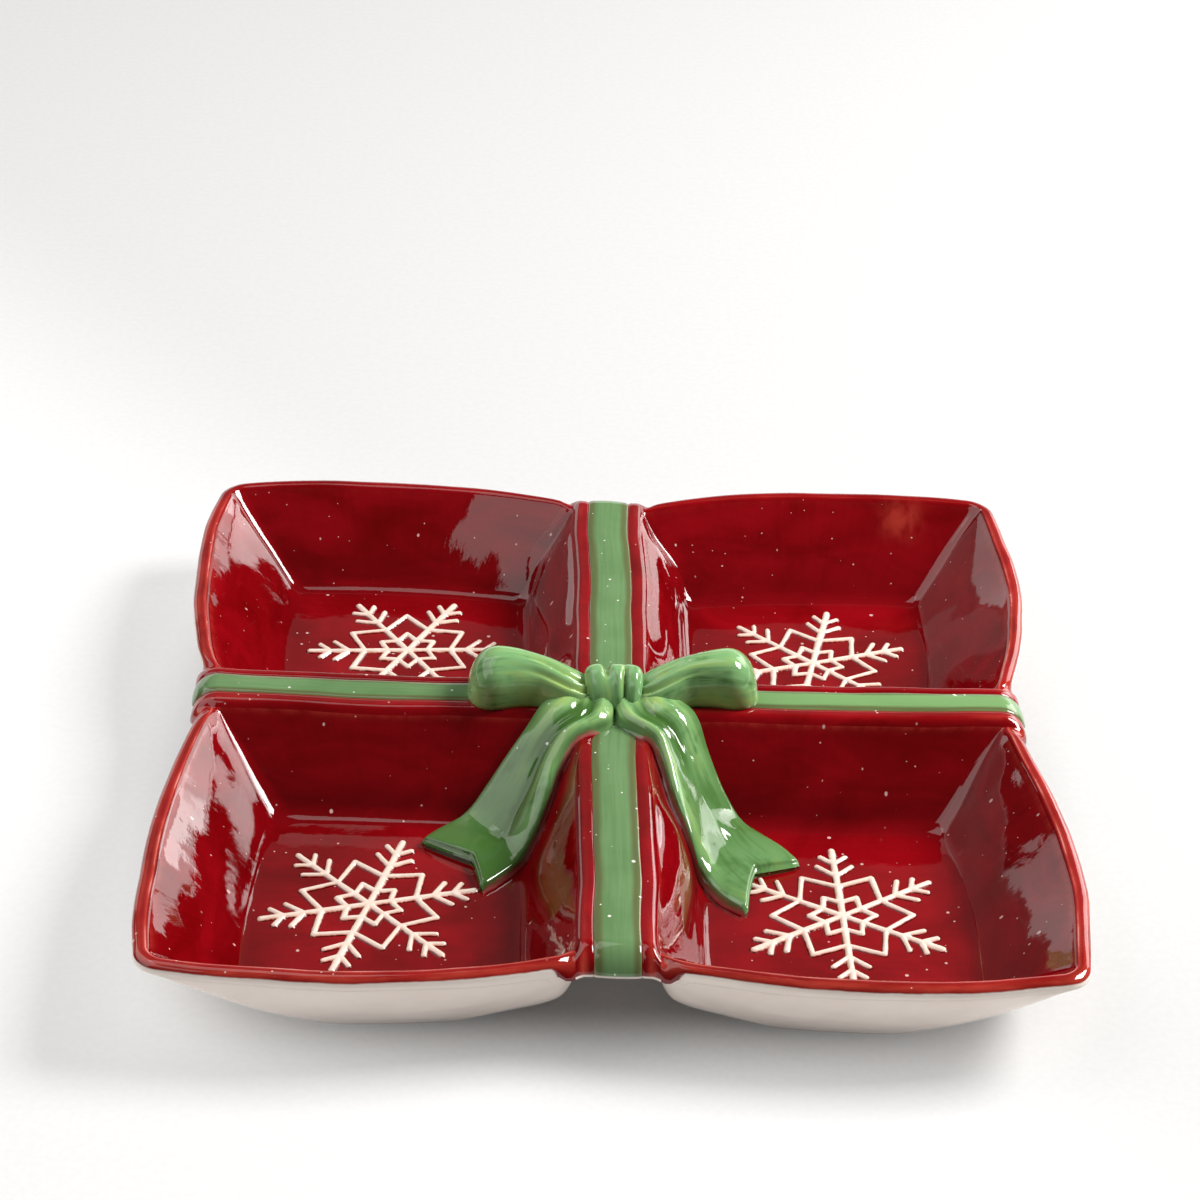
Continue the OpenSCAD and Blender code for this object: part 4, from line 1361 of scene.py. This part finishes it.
def cream_glaze():
    """Grainy cream lines that blush towards their sides and end in dark red for pooled glaze and painted
    shade.
    """
    g = Glaze("cream_glaze", FLAKE_WHITE)
    grain = g.noise(g.place, *GRAIN)
    share = g.parts(g.mark("coat"))[0]
    reach = g.math("ADD", share, g.math("MULTIPLY_ADD", grain, *FLAKE_WANDER))
    g.paint(FLAKE_DULL, grain, *GRAIN_RANGE)
    g.paint(FLAKE_BLUSH, reach, *BLUSH_RANGE)
    # Dark red round the lines: pooled glaze and painted shade at their foot
    g.paint(POOLED_AND_SHADED_RED, reach, *EDGE_RANGE)
    return g.finish(grain, FLAKE_GLOSS, (grain, GRAIN_DEPTH))


# Camera: fitted to the photo, in its pixels, degrees and millimetres
PHOTO_SIDE = 1200
FOCAL_PIXELS = 3403.2
SENSOR = 36.0
ELEVATION, YAW, ROLL = (math.radians(a) for a in (32.1, 1.825, 2.328))
DISTANCE = 1172.0
AIM = (3.12, -65.5)
# Soft boxes: name, azimuth, distance, height, tilt, width, length, radiance
LIGHTS = (
    ("key_box", 103, 1.12, 1.08, 44, 0.66, 0.56, 30.0),
    ("key_glow", 133, 1.50, 0.56, 20, 0.74, 0.66, 4.1),
    ("key_low", 142, 1.70, 0.20, 6, 0.70, 0.30, 1.4),
    ("left_panel", -95, 1.10, 1.50, 0, 1.80, 2.10, 1.85),
    ("left_top", -41, 1.25, 1.75, 0, 0.70, 0.90, 1.7),
    ("top_panel", -130, 0.55, 1.60, 71, 0.90, 0.70, 1.7),
    ("back_card", 180, 2.20, 0.35, 0, 4.00, 0.70, 1.1),
    ("back_haze", 180, 2.20, 1.40, 32, 3.20, 1.10, 0.14),
)
LIGHT_TINT = (1.0, 0.985, 0.965)
WORLD_LIGHT = 0.035
# Floor: two greys, and the light that it gives off, more to the left and the front and less beside the dish
FLOOR_SIDE = 9.0
FLOOR_GREYS, FLOOR_ROUGHNESS = (0.39, 0.41), 0.9
FLOOR_GRAIN, FLOOR_GRAIN_RANGE = (400.0, 2.0), (0.3, 0.7)
FLOOR_LEAN, FLOOR_GLOW = (-0.8, -0.6, 0.0), (-0.08, 0.08, 0.33, 0.50)
FLOOR_SHADE, SQUARENESS = (0.115, 0.165, 0.08, 1.0), 4.0


def make_camera():
    """Camera at the photo's angle."""
    back = np.array([0, -math.cos(ELEVATION), math.sin(ELEVATION)])
    right, rise = np.array([1.0, 0, 0]), np.array([0, math.sin(ELEVATION), math.cos(ELEVATION)])
    across = math.cos(ROLL) * right + math.sin(ROLL) * rise
    up = -math.sin(ROLL) * right + math.cos(ROLL) * rise
    pose = Matrix([[*row] for row in np.column_stack([across, up, back])]).to_4x4()
    pose.translation = (DISTANCE * back - AIM[0] * across - AIM[1] * up) * MM
    data = bpy.data.cameras.new("camera")
    data.sensor_width = SENSOR
    data.lens = FOCAL_PIXELS / PHOTO_SIDE * SENSOR
    camera = link("camera", data)
    camera.matrix_world = Matrix.Rotation(-YAW, 4, "Z") @ pose
    bpy.context.scene.camera = camera


def make_light(name, azimuth, distance, height, tilt, width, length, radiance):
    """Soft box that faces the dish. Azimuth 0 is the camera's side and 90 is +X, in degrees."""
    data = bpy.data.lights.new(name, "AREA")
    data.shape = "RECTANGLE"
    data.size = width
    data.size_y = length
    data.energy = math.pi * width * length * radiance
    data.color = LIGHT_TINT
    turn = Matrix.Rotation(math.radians(azimuth), 4, "Z")
    lean = Matrix.Rotation(math.pi / 2 - math.radians(tilt), 4, "X")
    link(name, data).matrix_world = turn @ Matrix.Translation((0, -distance, height)) @ lean


def floor_material():
    g = Glaze("studio_floor", (FLOOR_GREYS[0],) * 3)
    g.paint((FLOOR_GREYS[1],) * 3, g.noise(g.place, *FLOOR_GRAIN), *FLOOR_GRAIN_RANGE)
    x, y = (g.math("POWER", g.math("ABSOLUTE", part), SQUARENESS) for part in g.parts(g.place)[:2])
    away = g.math("POWER", g.math("ADD", x, y), 1 / SQUARENESS)
    lean = g.between(g.vector("DOT_PRODUCT", FLOOR_LEAN), *FLOOR_GLOW)
    glow = g.times(g.between(away, *FLOOR_SHADE), lean)
    return g.surface({"Base Color": g.colour, "Roughness": FLOOR_ROUGHNESS, "Specular IOR Level": 0.0,
                      "Emission Color": (1, 1, 1, 1), "Emission Strength": glow})


def make_floor():
    half = FLOOR_SIDE / 2
    corners = [(-half, -half, 0), (half, -half, 0), (half, half, 0), (-half, half, 0)]
    mesh = bpy.data.meshes.new("studio_floor")
    mesh.from_pydata(corners, [], [(0, 1, 2, 3)])
    mesh.materials.append(floor_material())
    floor = link("studio_floor", mesh)
    floor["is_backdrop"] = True


def make_world():
    world = bpy.data.worlds.new("studio")
    world.use_nodes = True
    shade = world.node_tree.nodes["Background"]
    shade.inputs[0].default_value = (1, 1, 1, 1)
    shade.inputs[1].default_value = WORLD_LIGHT
    bpy.context.scene.world = world


make_dish(red_glaze())
green_band = ribbon_glaze()
for arm_name in ARMS:
    make_ribbon(arm_name, green_band)
leaf_green = bow_glaze()
for side_name in SIDES:
    make_loop(side_name, leaf_green)
make_knot(leaf_green)
for side_name in SIDES:
    make_tail(side_name, leaf_green)
cream_line = cream_glaze()
for quarter_name in QUARTERS:
    make_flake(quarter_name, cream_line)
make_floor()
make_world()
for light in LIGHTS:
    make_light(*light)
bpy.context.scene.view_settings.view_transform = "Standard"
make_camera()

boxes = {"cad": CAD_BOX, "visual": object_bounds()}
{name: [list(low), list(high)] for name, (low, high) in boxes.items()}
